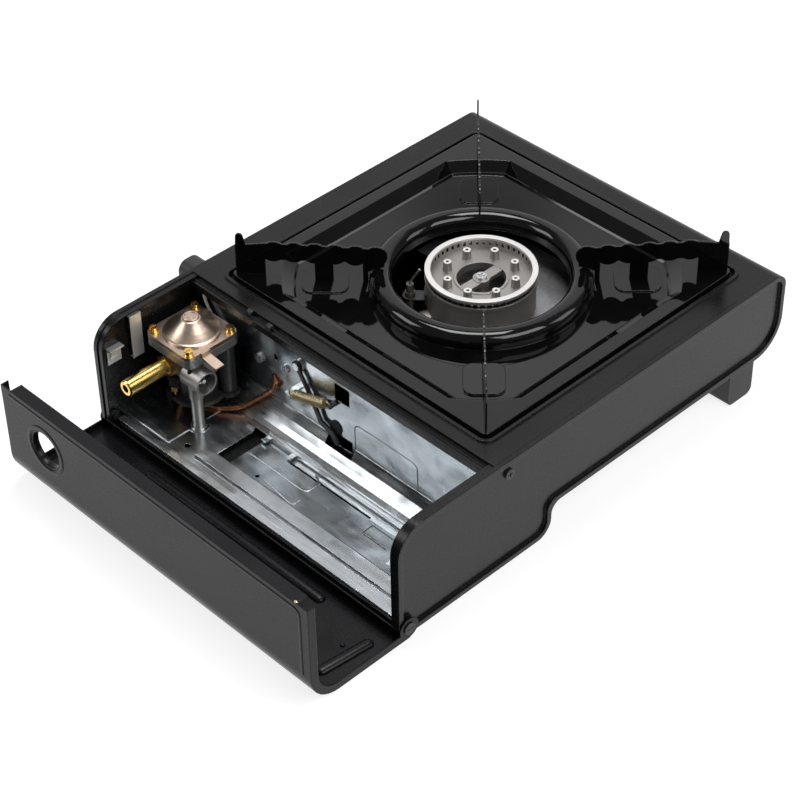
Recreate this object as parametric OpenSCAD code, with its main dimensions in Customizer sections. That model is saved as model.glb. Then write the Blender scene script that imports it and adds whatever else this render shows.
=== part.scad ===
// Single-burner cassette stove with its cartridge bay open.
// X runs across the body towards the bay, Y from the front to the rear, Z up from the table.

/* [Body] */
// Width of the body, side to side
body_w = 349; // [340:1:370]
// Depth of the body over the two panels
body_d = 275; // [265:1:290]
// Height of the cooking top above the table
top_z = 84; // [82:1:92]
// Height of the shallow underside above the table
shallow_z = 25; // [22:1:30]
// Height of the deep underside above the table
deep_z = 2; // [1.5:0.5:4]
// Thickness of the painted sheets
sheet = 0.8; // [0.6:0.1:1]
// Distance from the right edge to the step in the underside
step_inset = 129.5; // [124:1:134]
// Radius of the top corner on the burner side
side_top_r = 10; // [8:1:14]
// Radius of the bottom corner on the burner side
side_low_r = 24; // [18:1:28]
// Radius of the top corner on the bay side
bay_top_r = 20; // [16:1:24]

/* [Panels] */
// Width of the rolled rim round each panel
rim_w = 3.5; // [3:0.5:5]
// Depth of the rolled rim
rim_d = 3.3; // [2.5:0.1:4]
// Depth to which the panel face is sunk behind its rim
face_sink = 2.1; // [1.5:0.1:2.4]
// Length of the return flange that runs inwards from the rim
flange_l = 4.6; // [4:0.2:8]
// Play between sheets that lie on each other
lap = 0.05; // [0.03:0.01:0.1]

/* [Cartridge bay] */
// Width of the bay from the divider to the right edge
bay_w = 81.5; // [78:0.5:86]
// Thickness of the plated sheets
plate_t = 0.8; // [0.6:0.1:1]
// Height at which the sloping tray meets the divider
slope_top_z = 24; // [20:1:28]
// Height of the tray's ledges
ledge_z = 9; // [8.5:0.5:11]
// Depth of the channel in the tray
channel_depth = 2.2; // [1.8:0.1:2.6]
// Width of the channel in the tray
channel_w = 31; // [28:1:33]
// Travel of the slide plate towards the regulator
slide_travel = 10; // [6:1:10]

/* [Lid] */
// Clear gap between the lid and the body
lid_gap = 0.3; // [0.2:0.1:0.6]
// Width of the lid's end flanges
lid_flange_w = 4.5; // [3.5:0.5:6]
// Depth of the flange along the lid's free edge
lid_edge_d = 8; // [6:1:9]
// Radius of the round window in the lid
lid_window_r = 14; // [10:1:16]
// Distance from the right edge to the hinge axis
hinge_inset = 6.9; // [6.5:0.1:8]
// Height of the hinge axis
hinge_z = 8; // [7.5:0.5:9]
// Radius of the hinge screw's shank
hinge_r = 2.5; // [2:0.1:3]

/* [Drip pan] */
// Side of the square pan
pan_w = 227; // [222:1:228]
// Thickness of the enamelled sheet
pan_t = 1; // [0.8:0.1:1.2]
// Height of the pan's border above the cooking top
pan_rise = 2; // [1:0.5:3]
// Depth of the dish below the border
dish_depth = 7; // [5:0.5:8]
// Radius of the dish at its rim, which the straight sides cut
dish_r = 128; // [122:0.5:130]
// Width of the dish between its straight sides
dish_w = 209; // [200:1:212]
// Outer radius of the collar
collar_r = 72; // [70:1:74]
// Radius of the hole in the collar
collar_hole_r = 57; // [54:1:60]
// Height of the collar above the dish
collar_h = 10; // [8:0.5:11]

/* [Pan supports] */
// Thickness of a support blade
blade_t = 1.2; // [1:0.1:2]
// Height of the prongs above the cooking top
prong_rise = 33; // [28:1:38]
// Radius on which the outer ends of the blades stand
blade_reach = 157; // [150:1:158]

/* [Burner] */
// Distance from the left edge to the burner's axis
burner_inset = 139.5; // [137:0.5:142]
// Outer radius of the burner head
head_r = 36.5; // [34:0.5:38]
// Height of the head's rim above the cooking top
head_rise = 5; // [3:0.5:7]
// Number of flame slots
slots = 48; // [24:2:56]
// Number of hollow posts
posts = 8; // [6:1:10]
// Radius of the circle on which the posts stand
post_ring_r = 23.5; // [22:0.5:25]

/* [Regulator] */
// Side of the square regulator flange
reg_w = 43; // [40:1:45]
// Height of the top of the cap's plate
reg_z = 65; // [63:0.5:67]
// Distance between the cap screws
screw_pitch = 34.5; // [33:0.5:36]
// Radius of the foot of the dome
dome_r = 18.8; // [17.5:0.1:19.2]
// Height of the dome above its plate
dome_h = 12.2; // [10:0.2:13]
// Outer radius of the hose stem
stem_r = 5.6; // [4.5:0.1:6]
// Bore radius of the inlet that takes the cartridge
inlet_r = 7; // [6:0.25:7.5]
// Height of the cartridge axis
inlet_z = 45; // [43:1:47]

/* [Controls] */
// Radius of the control knob
knob_r = 19; // [16:1:20]
// Length of the control knob
knob_l = 15; // [12:1:20]
// Travel of the lock lever
lever_travel = 24; // [18:1:26]

/* [Hidden] */
$fn = 64;

// The origin lies under the middle of the stove as it stands with its lid open.
lid_skin = lid_gap + sheet;
lid_reach = top_z + lid_skin - hinge_z;
grip_gap = 0.6;
grip_l = 15.5;
screw_rise = 2;
front_reach = body_d / 2 + grip_gap + grip_l;
rear_reach = body_d / 2 + screw_rise;
body_x = -(body_w / 2 - hinge_inset + lid_reach - body_w / 2) / 2;
body_y = (front_reach - rear_reach) / 2;

left_x = -body_w / 2;
right_x = body_w / 2;
front_y = -body_d / 2;
rear_y = body_d / 2;
divider_x = right_x - bay_w;
hinge_x = right_x - hinge_inset;
step_x = right_x - step_inset;
burner_x = left_x + burner_inset;
inner_y = rear_y - face_sink - sheet;
plate_y = rear_y - rim_d;
lip_x = divider_x + 5;

// Places that the regulator, its pipe and the works on the divider are set out from
reg_x = right_x - 55.5;
reg_y = front_y + 30.5;
inlet_x = reg_x + 13;
inlet_y = reg_y + 28;
knob_x = reg_x;

// Pan and burner heights
pan_top = top_z + pan_rise;
dish_z = pan_top - dish_depth;
collar_z = dish_z + collar_h;
pan_half = pan_w / 2;
well_half = pan_half + 3;
head_z = top_z + head_rise;

module at_body() translate([body_x, body_y, 0]) children();
module at_burner() translate([body_x + burner_x, body_y, 0]) children();

// ---------- shared forms ----------

// Round corner of radius r at (x, z), cut from the side that (dx, dz) points into.
module corner_cut(x, z, dx, dz, r)
  translate([x, z]) scale_signs(dx, dz) difference() {
    translate([-1, -1]) square(r + 1);
    translate([r, r]) circle(r = r);
  }

// Flips a 2-D form by whole signs, so that arcs stay true.
module scale_signs(dx, dz)
  mirror([dx < 0 ? 1 : 0, 0]) mirror([0, dz < 0 ? 1 : 0]) children();

// Side outline of the body, drawn in X and Z and shrunk by d.
module side_outline(d = 0) {
  step_low_r = 12;
  step_top_r = 8;
  difference() {
    union() {
      translate([left_x + d, shallow_z + d]) square([body_w - 2 * d, top_z - shallow_z - 2 * d]);
      translate([step_x + d, deep_z + d]) square([right_x - step_x - 2 * d, shallow_z - deep_z]);
      // fillet under the shallow floor
      difference() {
        translate([step_x + d - step_top_r, shallow_z + d - step_top_r]) square(step_top_r + 1);
        translate([step_x + d - step_top_r, shallow_z + d - step_top_r]) circle(r = step_top_r);
      }
    }
    corner_cut(left_x + d, top_z - d, 1, -1, side_top_r - d);
    corner_cut(left_x + d, shallow_z + d, 1, 1, side_low_r - d);
    corner_cut(right_x - d, top_z - d, -1, -1, bay_top_r - d);
    corner_cut(right_x - d, deep_z + d, -1, 1, hinge_inset - d);
    corner_cut(step_x + d, deep_z + d, 1, 1, step_low_r - d);
  }
}

// Band of the side outline between two depths.
module side_band(outer, inner) {
  difference() {
    side_outline(outer);
    side_outline(inner);
  }
}

// Stands an X-Z outline up and gives it the Y range from y0 to y1.
module stand(y0, y1)
  translate([0, y1, 0]) rotate([90, 0, 0]) linear_extrude(y1 - y0) children();

module round_rect(w, d, r) {
  square([w - 2 * r, d], center = true);
  square([w, d - 2 * r], center = true);
  for (x = [-1, 1], y = [-1, 1]) translate([x * (w / 2 - r), y * (d / 2 - r)]) circle(r = r);
}

// Straight bar with round ends between two points of a plane.
module round_bar(a, b, w) {
  run = b - a;
  translate(a) circle(d = w);
  translate(b) circle(d = w);
  translate(a) rotate(atan2(run[1], run[0])) translate([0, -0.49 * w]) square([norm(run), 0.98 * w]);
}

// Tube of radius r with flat sides, swept along a list of points.
function unit(v) = v / norm(v);
function tangent(p, i) =
  i == 0 ? unit(p[1] - p[0]) :
  i == len(p) - 1 ? unit(p[i] - p[i - 1]) : unit(unit(p[i + 1] - p[i]) + unit(p[i] - p[i - 1]));
function side_of(t) = unit(cross(t, abs(t[2]) < 0.9 ? [0, 0, 1] : [0, 1, 0]));
function carried(u, t) = unit(u - (u * t) * t);
function sides_along(p, i, u) =
  i == len(p) ? [] :
  let (v = i == 0 ? side_of(tangent(p, 0)) : carried(u, tangent(p, i))) concat([v],
    sides_along(p, i + 1, v));
function blend(a, b, c, d, t) =
  0.5 * (2 * b + (c - a) * t + (2 * a - 5 * b + 4 * c - d) * t * t + (3 * b - a - 3 * c + d) * t * t * t);
function smooth_path(p, n) = concat(
  [for (i = [0 : len(p) - 2], k = [0 : n - 1])
    blend(p[max(i - 1, 0)], p[i], p[i + 1], p[min(i + 2, len(p) - 1)], k / n)],
  [p[len(p) - 1]]);

module swept_tube(path, r, n = 10) {
  u = sides_along(path, 0, [0, 0, 1]);
  rings = [for (i = [0 : len(path) - 1]) let (t = tangent(path, i), w = cross(t, u[i]))
    for (k = [0 : n - 1]) path[i] + r * (cos(360 * k / n) * u[i] + sin(360 * k / n) * w)];
  last = (len(path) - 1) * n;
  walls = [for (i = [0 : len(path) - 2], k = [0 : n - 1])
    [i * n + k, i * n + (k + 1) % n, (i + 1) * n + (k + 1) % n, (i + 1) * n + k]];
  caps = [[for (k = [n - 1 : -1 : 0]) k], [for (k = [0 : n - 1]) last + k]];
  polyhedron(rings, concat(caps, walls), convexity = 4);
}

// ---------- shell ----------

well_ledge = 4.2;
ledge_drop = 3;
bead_w = 2.4;
bead_h = 1.2;
well_r = 6;

// Painted top, rolled over the burner side, with a beaded well for the pan.
module top_plate() color("#2a2a2c") at_body() {
  wall_foot = 39;
  seat_z = top_z - ledge_drop;
  difference() {
    union() {
      stand(-plate_y, plate_y) intersection() {
        side_band(0, sheet);
        translate([left_x - 1, wall_foot]) square([divider_x - left_x + 1, top_z]);
      }
      translate([burner_x, 0, top_z - sheet]) linear_extrude(sheet + bead_h)
        round_rect(2 * (well_half + bead_w), 2 * (well_half + bead_w), well_r + bead_w);
      translate([burner_x, 0, seat_z - sheet]) linear_extrude(ledge_drop + sheet)
        round_rect(2 * (well_half + sheet), 2 * (well_half + sheet), well_r + sheet);
    }
    // well above the seat, then the hole inside the seat
    translate([burner_x, 0, seat_z]) linear_extrude(ledge_drop + 5)
      round_rect(2 * well_half, 2 * well_half, well_r);
    translate([burner_x, 0, seat_z - 5]) linear_extrude(10)
      round_rect(2 * (well_half - well_ledge), 2 * (well_half - well_ledge), well_r);
  }
  bay_edge();
}

// Stepped edge along the bay, which carries the lid's free edge.
module bay_edge() {
  edge_drop = 3;
  lip_l = 5;
  ridge = 0.9;
  clear_y = inner_y - flange_l - 0.5;
  translate([divider_x - sheet, -clear_y, top_z - edge_drop - sheet])
    cube([sheet, 2 * clear_y, edge_drop + sheet]);
  translate([divider_x - sheet, -plate_y, top_z - edge_drop - sheet])
    cube([lip_x - divider_x + sheet, 2 * plate_y, sheet]);
  translate([divider_x + 2, -plate_y, top_z - edge_drop - sheet]) cube([ridge, 2 * plate_y, sheet + ridge]);
  translate([lip_x - sheet, -clear_y, top_z - edge_drop - lip_l]) cube([sheet, 2 * clear_y, lip_l]);
}

// Painted floor that follows the stepped underside.
module bottom_plate() color("#2a2a2c") at_body() {
  wall_foot = 39;
  corner_l = 14;
  stand(-plate_y, plate_y) intersection() {
    side_band(0, sheet);
    union() {
      translate([left_x - 1, 0]) square([right_x - corner_l - left_x + 1, wall_foot]);
      translate([left_x - 1, 0]) square([body_w + 2, deep_z + hinge_inset]);
    }
  }
}

slot_x = divider_x - 12;
slot_w = 7;
lever_top_z = 71;

screw_x = [divider_x - 11, divider_x - 33];
screw_z = top_z - 11.5;
module panel_form(front) {
  // rolled rim
  stand(rear_y - rim_d, rear_y) side_band(0, sheet);
  stand(rear_y - sheet, rear_y) side_band(0, rim_w);
  stand(rear_y - face_sink - sheet, rear_y) side_band(rim_w - sheet, rim_w);
  // return flange and the seam that joins it to the rim
  stand(rear_y - rim_d, rear_y - rim_d + sheet) side_band(0, sheet + lap + sheet);
  stand(inner_y - flange_l, rear_y - rim_d + sheet) side_band(sheet + lap, sheet + lap + sheet);
  // sunk face
  difference() {
    stand(inner_y, inner_y + sheet) side_outline(sheet + lap + 0.1);
    stand(inner_y - 1, rear_y) {
      translate([hinge_x, hinge_z]) circle(r = hinge_r + lap);
      translate([screw_x[front ? 1 : 0], screw_z]) circle(r = 1.9 + lap);
      if (front) {
        translate([knob_x, knob_z]) circle(r = 5);
        translate([slot_x - slot_w / 2, lever_top_z - lever_travel - 6])
          square([slot_w, lever_travel + 12]);
      }
    }
  }
}

module rear_panel() color("#333336") at_body() difference() {
  panel_form(false);
  hinge_hole();
}
module front_panel() color("#333336") at_body() mirror([0, 1, 0]) difference() {
  panel_form(true);
  hinge_hole();
}

// The hinge screw passes through the rim where the corner wraps round it.
module hinge_hole()
  translate([hinge_x, rear_y + 1, hinge_z]) rotate([90, 0, 0])
    cylinder(r = hinge_r + lap, h = flange_l + 8);

screw_head_h = 1.6;

module panel_screw(x) {
  translate([x, rear_y - face_sink, screw_z]) rotate([-90, 0, 0]) difference() {
    cylinder(r = 3.6, h = screw_head_h);
    for (a = [0, 90]) rotate(a) translate([-2, -0.4, screw_head_h - 0.7]) cube([4, 0.8, 2]);
  }
  translate([x, inner_y - 5, screw_z]) rotate([-90, 0, 0])
    cylinder(r = 1.9, h = 5 + rear_y - face_sink - inner_y);
}
module panel_screws() color("#1b1b1c") at_body() for (side = [0, 1]) mirror([0, side, 0])
  panel_screw(screw_x[side]);

module tall_foot() {
  foot_w = 24;
  foot_d = 26;
  foot_r = 5;
  foot_x = left_x + 26;
  difference() {
    translate([foot_x, rear_y - foot_d, 0]) cube([foot_w, foot_d, shallow_z]);
    for (s = [0, 1]) translate([foot_x + s * foot_w, rear_y + 1, 0]) rotate([90, 0, 0])
      linear_extrude(foot_d + 2) corner_cut(0, 0, 1 - 2 * s, 1, foot_r);
    // hollow underside with a cross rib
    for (s = [0, 1]) translate([foot_x + 3 + s * (foot_w / 2 - 2), rear_y - foot_d + 3, -1])
      cube([foot_w / 2 - 4, foot_d - 6, 13]);
  }
  translate([foot_x - 1.5, rear_y - foot_d - 1.5, shallow_z - 3]) cube([foot_w + 3, foot_d + 0.5, 3]);
}
module foot_rear() color("#1d1d1e") at_body() tall_foot();
module foot_front() color("#1d1d1e") at_body() mirror([0, 1, 0]) tall_foot();

module rest_pads() color("#1d1d1e") at_body()
  for (x = [step_x + 24, hinge_x - 24], y = [-1, 1]) translate([x, y * (plate_y - 16), 0])
    cylinder(r = 6, h = deep_z);

// ---------- bay ----------

piezo_x = divider_x + 12.3;
piezo_y = reg_y + 15.5;
piezo_r = 5.7;
piezo_top = reg_z - 9.4;
pipe_r = 1.6;

arm_y = reg_y + 73;
arm_z = 64;
arm_x = divider_x + 1.6;
arm_t = 1.5;
pipe_hole = [reg_y + 48.5, 39.6];
lead_hole = [reg_y - 14.5, 76];
spring_x = divider_x + 6.9;
spring_a = [reg_y + 70.8, 44.4];
spring_b = [reg_y + 108.6, 56];
hook_t = 1.2;
foot_window = [reg_y + 100.3, 18, 19.2, 9.2];

// Plated wall between the burner and the bay, drawn in Y and Z.
module divider_wall() color("#c9ced2") at_body() {
  foot_z = deep_z + sheet;
  head = top_z - 3 - sheet;
  hem = 10;
  translate([divider_x - plate_t, 0, 0]) rotate([90, 0, 90]) linear_extrude(plate_t) difference() {
    translate([-inner_y, foot_z]) square([2 * inner_y, head - foot_z]);
    for (s = [-1, 1]) translate([s * inner_y - flange_l - 1, foot_z - 1])
      square([2 * flange_l + 2, 2 + 2 * lap]);
    translate([arm_y, arm_z]) circle(r = 2 + lap);
    translate(pipe_hole) circle(r = pipe_r + 1.4);
    translate(lead_hole) circle(r = 2);
    translate([reg_y + 50, 57]) circle(r = 2.2);
    for (p = divider_screw_at) translate(p) circle(r = 1.5 + lap);
    // window and the lanced flap beside it
    translate([reg_y + 105, 55]) square([13, 13]);
    translate([reg_y + 150, 0]) difference() {
      translate([0, 31]) round_rect(56, 28, 5);
      translate([0, 30.4]) round_rect(54.8, 28, 4.4);
      translate([-33, 10]) square([66, 12]);
    }
    translate(plug_at) circle(r = 3 + lap);
    // window for the arm's foot, and the hole that the hook was lanced from
    translate([foot_window[0], foot_window[1]]) square([foot_window[2], foot_window[3]]);
    translate([spring_a[0] - hook_w / 2, spring_a[1] - 11]) square([hook_w, 8]);
  }
  // lanced hook for the spring
  difference() {
    translate([divider_x - 0.1, spring_a[0] - hook_w / 2, spring_a[1] - hook_t / 2])
      cube([spring_x - divider_x + 2.6, hook_w, hook_t]);
    translate([spring_x, spring_a[0], spring_a[1] - 2]) cylinder(r = 1.3, h = 4);
  }
  // foot flange on the floor
  translate([divider_x - hem, -inner_y + flange_l + 2, foot_z])
    cube([hem, 2 * (inner_y - flange_l - 2), plate_t]);
}

plug_at = [reg_y + 105.2, 31.7];
hook_w = 5;
divider_screw_at = [[reg_y + 34.5, 48], [reg_y + 59.6, 53.2]];
module divider_screws() color("#d6d8da") at_body() for (p = divider_screw_at)
  translate([divider_x, p[0], p[1]]) rotate([0, 90, 0]) {
    translate([0, 0, -4]) cylinder(r = 1.5, h = 4.2);
    difference() {
      cylinder(r = 3.4, h = 1.7);
      translate([-3, -0.5, 1]) cube([6, 1, 2]);
    }
  }

module divider_plug() color("#161616") at_body() translate([divider_x, plug_at[0], plug_at[1]])
  rotate([0, 90, 0]) {
  translate([0, 0, -2]) cylinder(r = 3, h = 2.1);
  cylinder(r = 5.2, h = 0.9);
}

channel_x = divider_x + 21;
channel_z = ledge_z - channel_depth;
tray_edge_x = right_x - 6;
plate_front_y = reg_y + 61;
plate_rear_y = rear_y - 25.5;
ledge_front_y = reg_y + 41;
post_x = inlet_x + 2.7;
post_y = inlet_y - 8.7;
post_r = 3.9;
base_edge_y = post_y - 1.2;

// Outline of the tray's upper face, from the divider to the outer edge.
function tray_line(d) = [
  [divider_x + lap, slope_top_z - d], [divider_x + 1, slope_top_z - 2 - d],
    [divider_x + 4, slope_top_z - 7 - d],
  [divider_x + 7.5, ledge_z + 4 - d], [divider_x + 10.5, ledge_z + 1.2 - d], [divider_x + 14, ledge_z - d],
  [channel_x - 1 - d * 0.4, ledge_z - d], [channel_x - d * 0.4, channel_z - d],
  [channel_x + channel_w + d * 0.4, channel_z - d], [channel_x + channel_w + 1 + d * 0.4, ledge_z - d],
  [channel_x + channel_w + 11.4 - d * 0.4, ledge_z - d],
    [channel_x + channel_w + 12.8 - d * 0.4, channel_z - d],
  [tray_edge_x - 6 + d * 0.4, channel_z - d], [tray_edge_x - 5 + d * 0.4, ledge_z - d],
    [tray_edge_x, ledge_z - d]
];
// The same at the regulator, where the floor is flat.
function tray_front_line(d) = [
  [divider_x + lap, slope_top_z - d], [divider_x + 1, slope_top_z - 2 - d],
    [divider_x + 4, slope_top_z - 7 - d],
  [divider_x + 7.5, ledge_z + 4 - d], [divider_x + 10.5, ledge_z + 1.2 - d],
    [divider_x + 13.5, channel_z + 0.4 - d],
  [divider_x + 16, channel_z - d], [tray_edge_x - 6 + d * 0.4, channel_z - d],
  [tray_edge_x - 5 + d * 0.4, ledge_z - d], [tray_edge_x, ledge_z - d]
];
function reversed(p) = [for (i = [len(p) - 1 : -1 : 0]) p[i]];

seat_rise = 0.6;

// Pressed tray under the cartridge, with a sunk channel for the slide plate.
module cartridge_tray() color("#bcc3c8") at_body() {
  difference() {
    union() {
      stand(ledge_front_y, inner_y) polygon(concat(tray_line(0), reversed(tray_line(plate_t))));
      stand(-inner_y, ledge_front_y + plate_t)
        polygon(concat(tray_front_line(0), reversed(tray_front_line(plate_t))));
      stand(ledge_front_y, ledge_front_y + plate_t)
        polygon(concat(tray_line(0), reversed(tray_front_line(plate_t))));
      // raised seat under the regulator, with a lobe round the post
      translate([0, 0, channel_z - 0.1]) linear_extrude(seat_rise + 0.1) {
        translate([divider_x + 17, -inner_y])
          square([tray_edge_x - 9 - divider_x - 17, base_edge_y + inner_y]);
        translate([post_x, post_y]) circle(r = post_r + 3.4);
      }
    }
    // opening below the slide plate, its wider front, and the slot for the arm's foot
    translate([channel_x + 3, plate_front_y - slide_travel - 2, 0])
      cube([channel_w - 6, plate_rear_y - plate_front_y - 46, ledge_z + 1]);
    translate([channel_x - 2.6, plate_front_y - slide_travel - 2.4, 0])
      cube([channel_w + 2.4, slide_travel + 3, ledge_z + 1]);
    translate([divider_x - 1, foot_window[0] - 2, 12]) cube([5, 24, 20]);
    translate([post_x, post_y, 0]) cylinder(r = post_r + 0.2, h = 20);
    translate([inlet_x + 20.7, reg_y + 29, 0]) cylinder(r = 2, h = 20);
    // room for the hinge ends
    for (s = [-1, 1]) translate([hinge_x, s * inner_y, hinge_z]) rotate([90, 0, 0])
      cylinder(r = 7, h = 12, center = true);
  }
  // outer hem and the legs that stand on the floor
  hem_clear = inner_y - 8;
  translate([tray_edge_x - plate_t, -hem_clear, deep_z + sheet + 2])
    cube([plate_t, 2 * hem_clear, ledge_z - deep_z - sheet - 2]);
  leg_y = rear_y - 37.5;
  for (y = [-leg_y, 0, leg_y]) translate([channel_x + channel_w + 4, y - 8, deep_z + sheet])
    cube([plate_t, 16, (y < ledge_front_y ? channel_z : ledge_z) - plate_t / 2 - deep_z - sheet]);
}

rail_y0 = plate_front_y - 1.5;
rail_y1 = rear_y - 11.5;
rail_z = ledge_z;
module slide_rail() color("#d3d8dc") at_body() {
  rib = 1.4;
  x0 = divider_x + 15;
  rail_w = channel_x - 1 - x0;
  translate([x0, rail_y0, rail_z]) cube([rail_w, rail_y1 - rail_y0, plate_t]);
  for (x = [x0 + 0.6, x0 + rail_w - rib]) translate([x, rail_y0, rail_z])
    cube([rib, rail_y1 - rail_y0, 2.2]);
  // clips that hold the slide plate down
  for (y = [rail_y0 + 1.5, rail_y0 + 25, rail_y1 - 45]) {
    translate([x0 + rail_w - 0.2, y, rail_z]) cube([5.4, 4, plate_t]);
    translate([x0 + rail_w + 3.8, y, rail_z]) cube([1.4, 4, 1.5]);
  }
}

slide_z = channel_z;
slide_play = 0.5;
module slide_plate() color("#a9b1b7") at_body() translate([channel_x, 0, slide_z]) {
  w = channel_w - 2 * slide_play;
  bead = 0.9;
  translate([slide_play, plate_front_y, 0]) linear_extrude(plate_t) difference() {
    plate_l = plate_rear_y - plate_front_y;
    square([w, plate_l]);
    // long notch along the rail
    translate([-1, 28]) square([5.6, plate_l - 60]);
    translate([27, 22]) circle(r = 1.4);
    // lanced flap near the rear
    translate([7, plate_l - 52]) difference() {
      square([10, 22]);
      translate([0.7, 0.7]) square([8.6, 23]);
    }
  }
  // raised line pressed into the plate
  translate([15.5, plate_front_y + 1, plate_t - 0.1]) cube([bead, 46, 0.6]);
  translate([15.5 - 8 + bead, plate_front_y + 47, plate_t - 0.1]) difference() {
    cylinder(r = 8, h = 0.6);
    translate([0, 0, -1]) cylinder(r = 8 - bead, h = 3);
    translate([-9, -9, -1]) cube([18, 9, 3]);
  }
  translate([channel_w - 6.5, plate_front_y + 50, plate_t - 0.1]) cube([bead, 4, 0.6]);
}

// Spring-back stop that the cartridge's base rests against.
module cartridge_stop() color("#d3d8dc") at_body() translate([channel_x + 8, 0, slide_z + plate_t]) {
  stop_w = 18;
  stop_h = 26;
  stop_y = plate_rear_y - 8;
  translate([0, stop_y - 14, 0]) cube([stop_w, 14, plate_t]);
  translate([0, stop_y, 0]) cube([stop_w, plate_t, stop_h]);
  translate([0, stop_y, stop_h - plate_t]) cube([stop_w, 5, plate_t]);
  for (x = [0, stop_w - plate_t]) translate([x, stop_y - 10, 0]) cube([plate_t, 10.5, 6]);
}

// Cranked arm on the divider, drawn in Y and Z.
arm_mid = [reg_y + 85.5, 46];
arm_knee = [reg_y + 93.5, 31];
arm_toe = [reg_y + 103.5, 27.5];
arm_foot = [reg_y + 108, 22];
arm_strap = [reg_y + 88, 42.5];
arm_head_r = 3.8;
module release_arm() color("#1a1a1b") at_body() {
  translate([arm_x, 0, 0]) rotate([90, 0, 90]) linear_extrude(arm_t) difference() {
    union() {
      translate([arm_y, arm_z]) circle(r = arm_head_r);
      round_bar([arm_y, arm_z], arm_mid, 3.2);
      round_bar(arm_mid, arm_knee, 3.8);
      round_bar(arm_knee, arm_toe, 4.2);
      round_bar(arm_toe, arm_foot, 4.4);
      // strap that takes the spring's end
      round_bar(arm_strap, spring_b - [5.6, 7.5], 3);
      round_bar(spring_b - [5.6, 7.5], spring_b, 3);
    }
    translate([arm_y, arm_z]) circle(r = 2 + lap);
  }
  difference() {
    translate([arm_x + arm_t - 0.1, spring_b[0] - 1.9, spring_b[1] - hook_t / 2])
      cube([spring_x - arm_x - arm_t + 2.4, 3.8, hook_t]);
    translate([spring_x, spring_b[0], spring_b[1] - 2]) cylinder(r = 1.1, h = 4);
  }
}
module arm_pivot() color("#c9cccf") at_body() translate([divider_x, arm_y, arm_z]) rotate([0, 90, 0]) {
  translate([0, 0, -3]) cylinder(r = 2, h = arm_x - divider_x + arm_t + 3.2);
  cylinder(r = 4.6, h = arm_x - divider_x - lap);
  translate([0, 0, arm_x - divider_x + arm_t + lap]) cylinder(r = 2.8, h = 0.7);
}

// Close-wound spring with a ring at each end, from the divider's hook to the arm's tab.
spring_r = 3.5;
wire_r = 0.6;
loop_r = 2.3;
spring_tilt = atan2(spring_b[1] - spring_a[1], spring_b[0] - spring_a[0]);
spring_l = norm(spring_b - spring_a);
module spring_loop(y) translate([0, y, 0]) rotate([0, 90, 0]) rotate_extrude() translate([loop_r, 0])
  circle(r = wire_r, $fn = 16);
module tension_spring() color("#b79a4e") at_body() translate([spring_x, spring_a[0], spring_a[1]])
  rotate([spring_tilt, 0, 0]) {
  coil_l = spring_l - 4 * loop_r + 0.6;
  turns = round(coil_l / (2 * wire_r));
  pitch = coil_l / turns;
  translate([0, 2 * loop_r - 0.3, 0]) rotate([-90, 0, 0]) rotate_extrude() union() {
    square([spring_r - wire_r, coil_l]);
    for (i = [0 : turns - 1]) translate([spring_r - wire_r - 0.1, i * pitch])
      polygon([[0, 0], [0.1, 0], [wire_r + 0.1, pitch / 2], [0.1, pitch], [0, pitch]]);
  }
  spring_loop(loop_r);
  spring_loop(spring_l - loop_r);
}

// Plated strap inside the front panel, with its top and foot folded back to the panel.
strap_x = right_x - 34.5;
module front_strap() color("#c6cacd") at_body() translate([strap_x, -inner_y, 0]) {
  strap_w = 9;
  strap_top = top_z - 5;
  strap_l = 33;
  off = 2.5;
  translate([0, off, strap_top - strap_l]) cube([strap_w, 1, strap_l]);
  for (z = [strap_top - 1, strap_top - strap_l]) translate([0, 0, z]) cube([strap_w, off + 0.5, 1]);
}

// Small catch for the lid on the front panel, held by one screw.
module catch_bracket() color("#c6cacd") at_body() translate([right_x - 18, -inner_y, 49]) {
  catch_w = 11;
  cube([catch_w, 1, 13]);
  translate([0, 0, 12]) cube([catch_w, 5, 1]);
  translate([catch_w - 4, 0.5, 6]) rotate([-90, 0, 0]) difference() {
    cylinder(r = 2.6, h = 2);
    translate([-3, -0.4, 1.3]) cube([6, 0.8, 2]);
  }
}

// ---------- burner ----------

head_floor_z = head_z - 8;
flange_z = head_z - 7.5;
shield_z = top_z - 24;
tube_turn = -25;
tube_drop = 8;
cup_r = head_r - 0.9;
rim_in_r = head_r - 3.8;
skirt_r = rim_in_r + 1.5;

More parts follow.
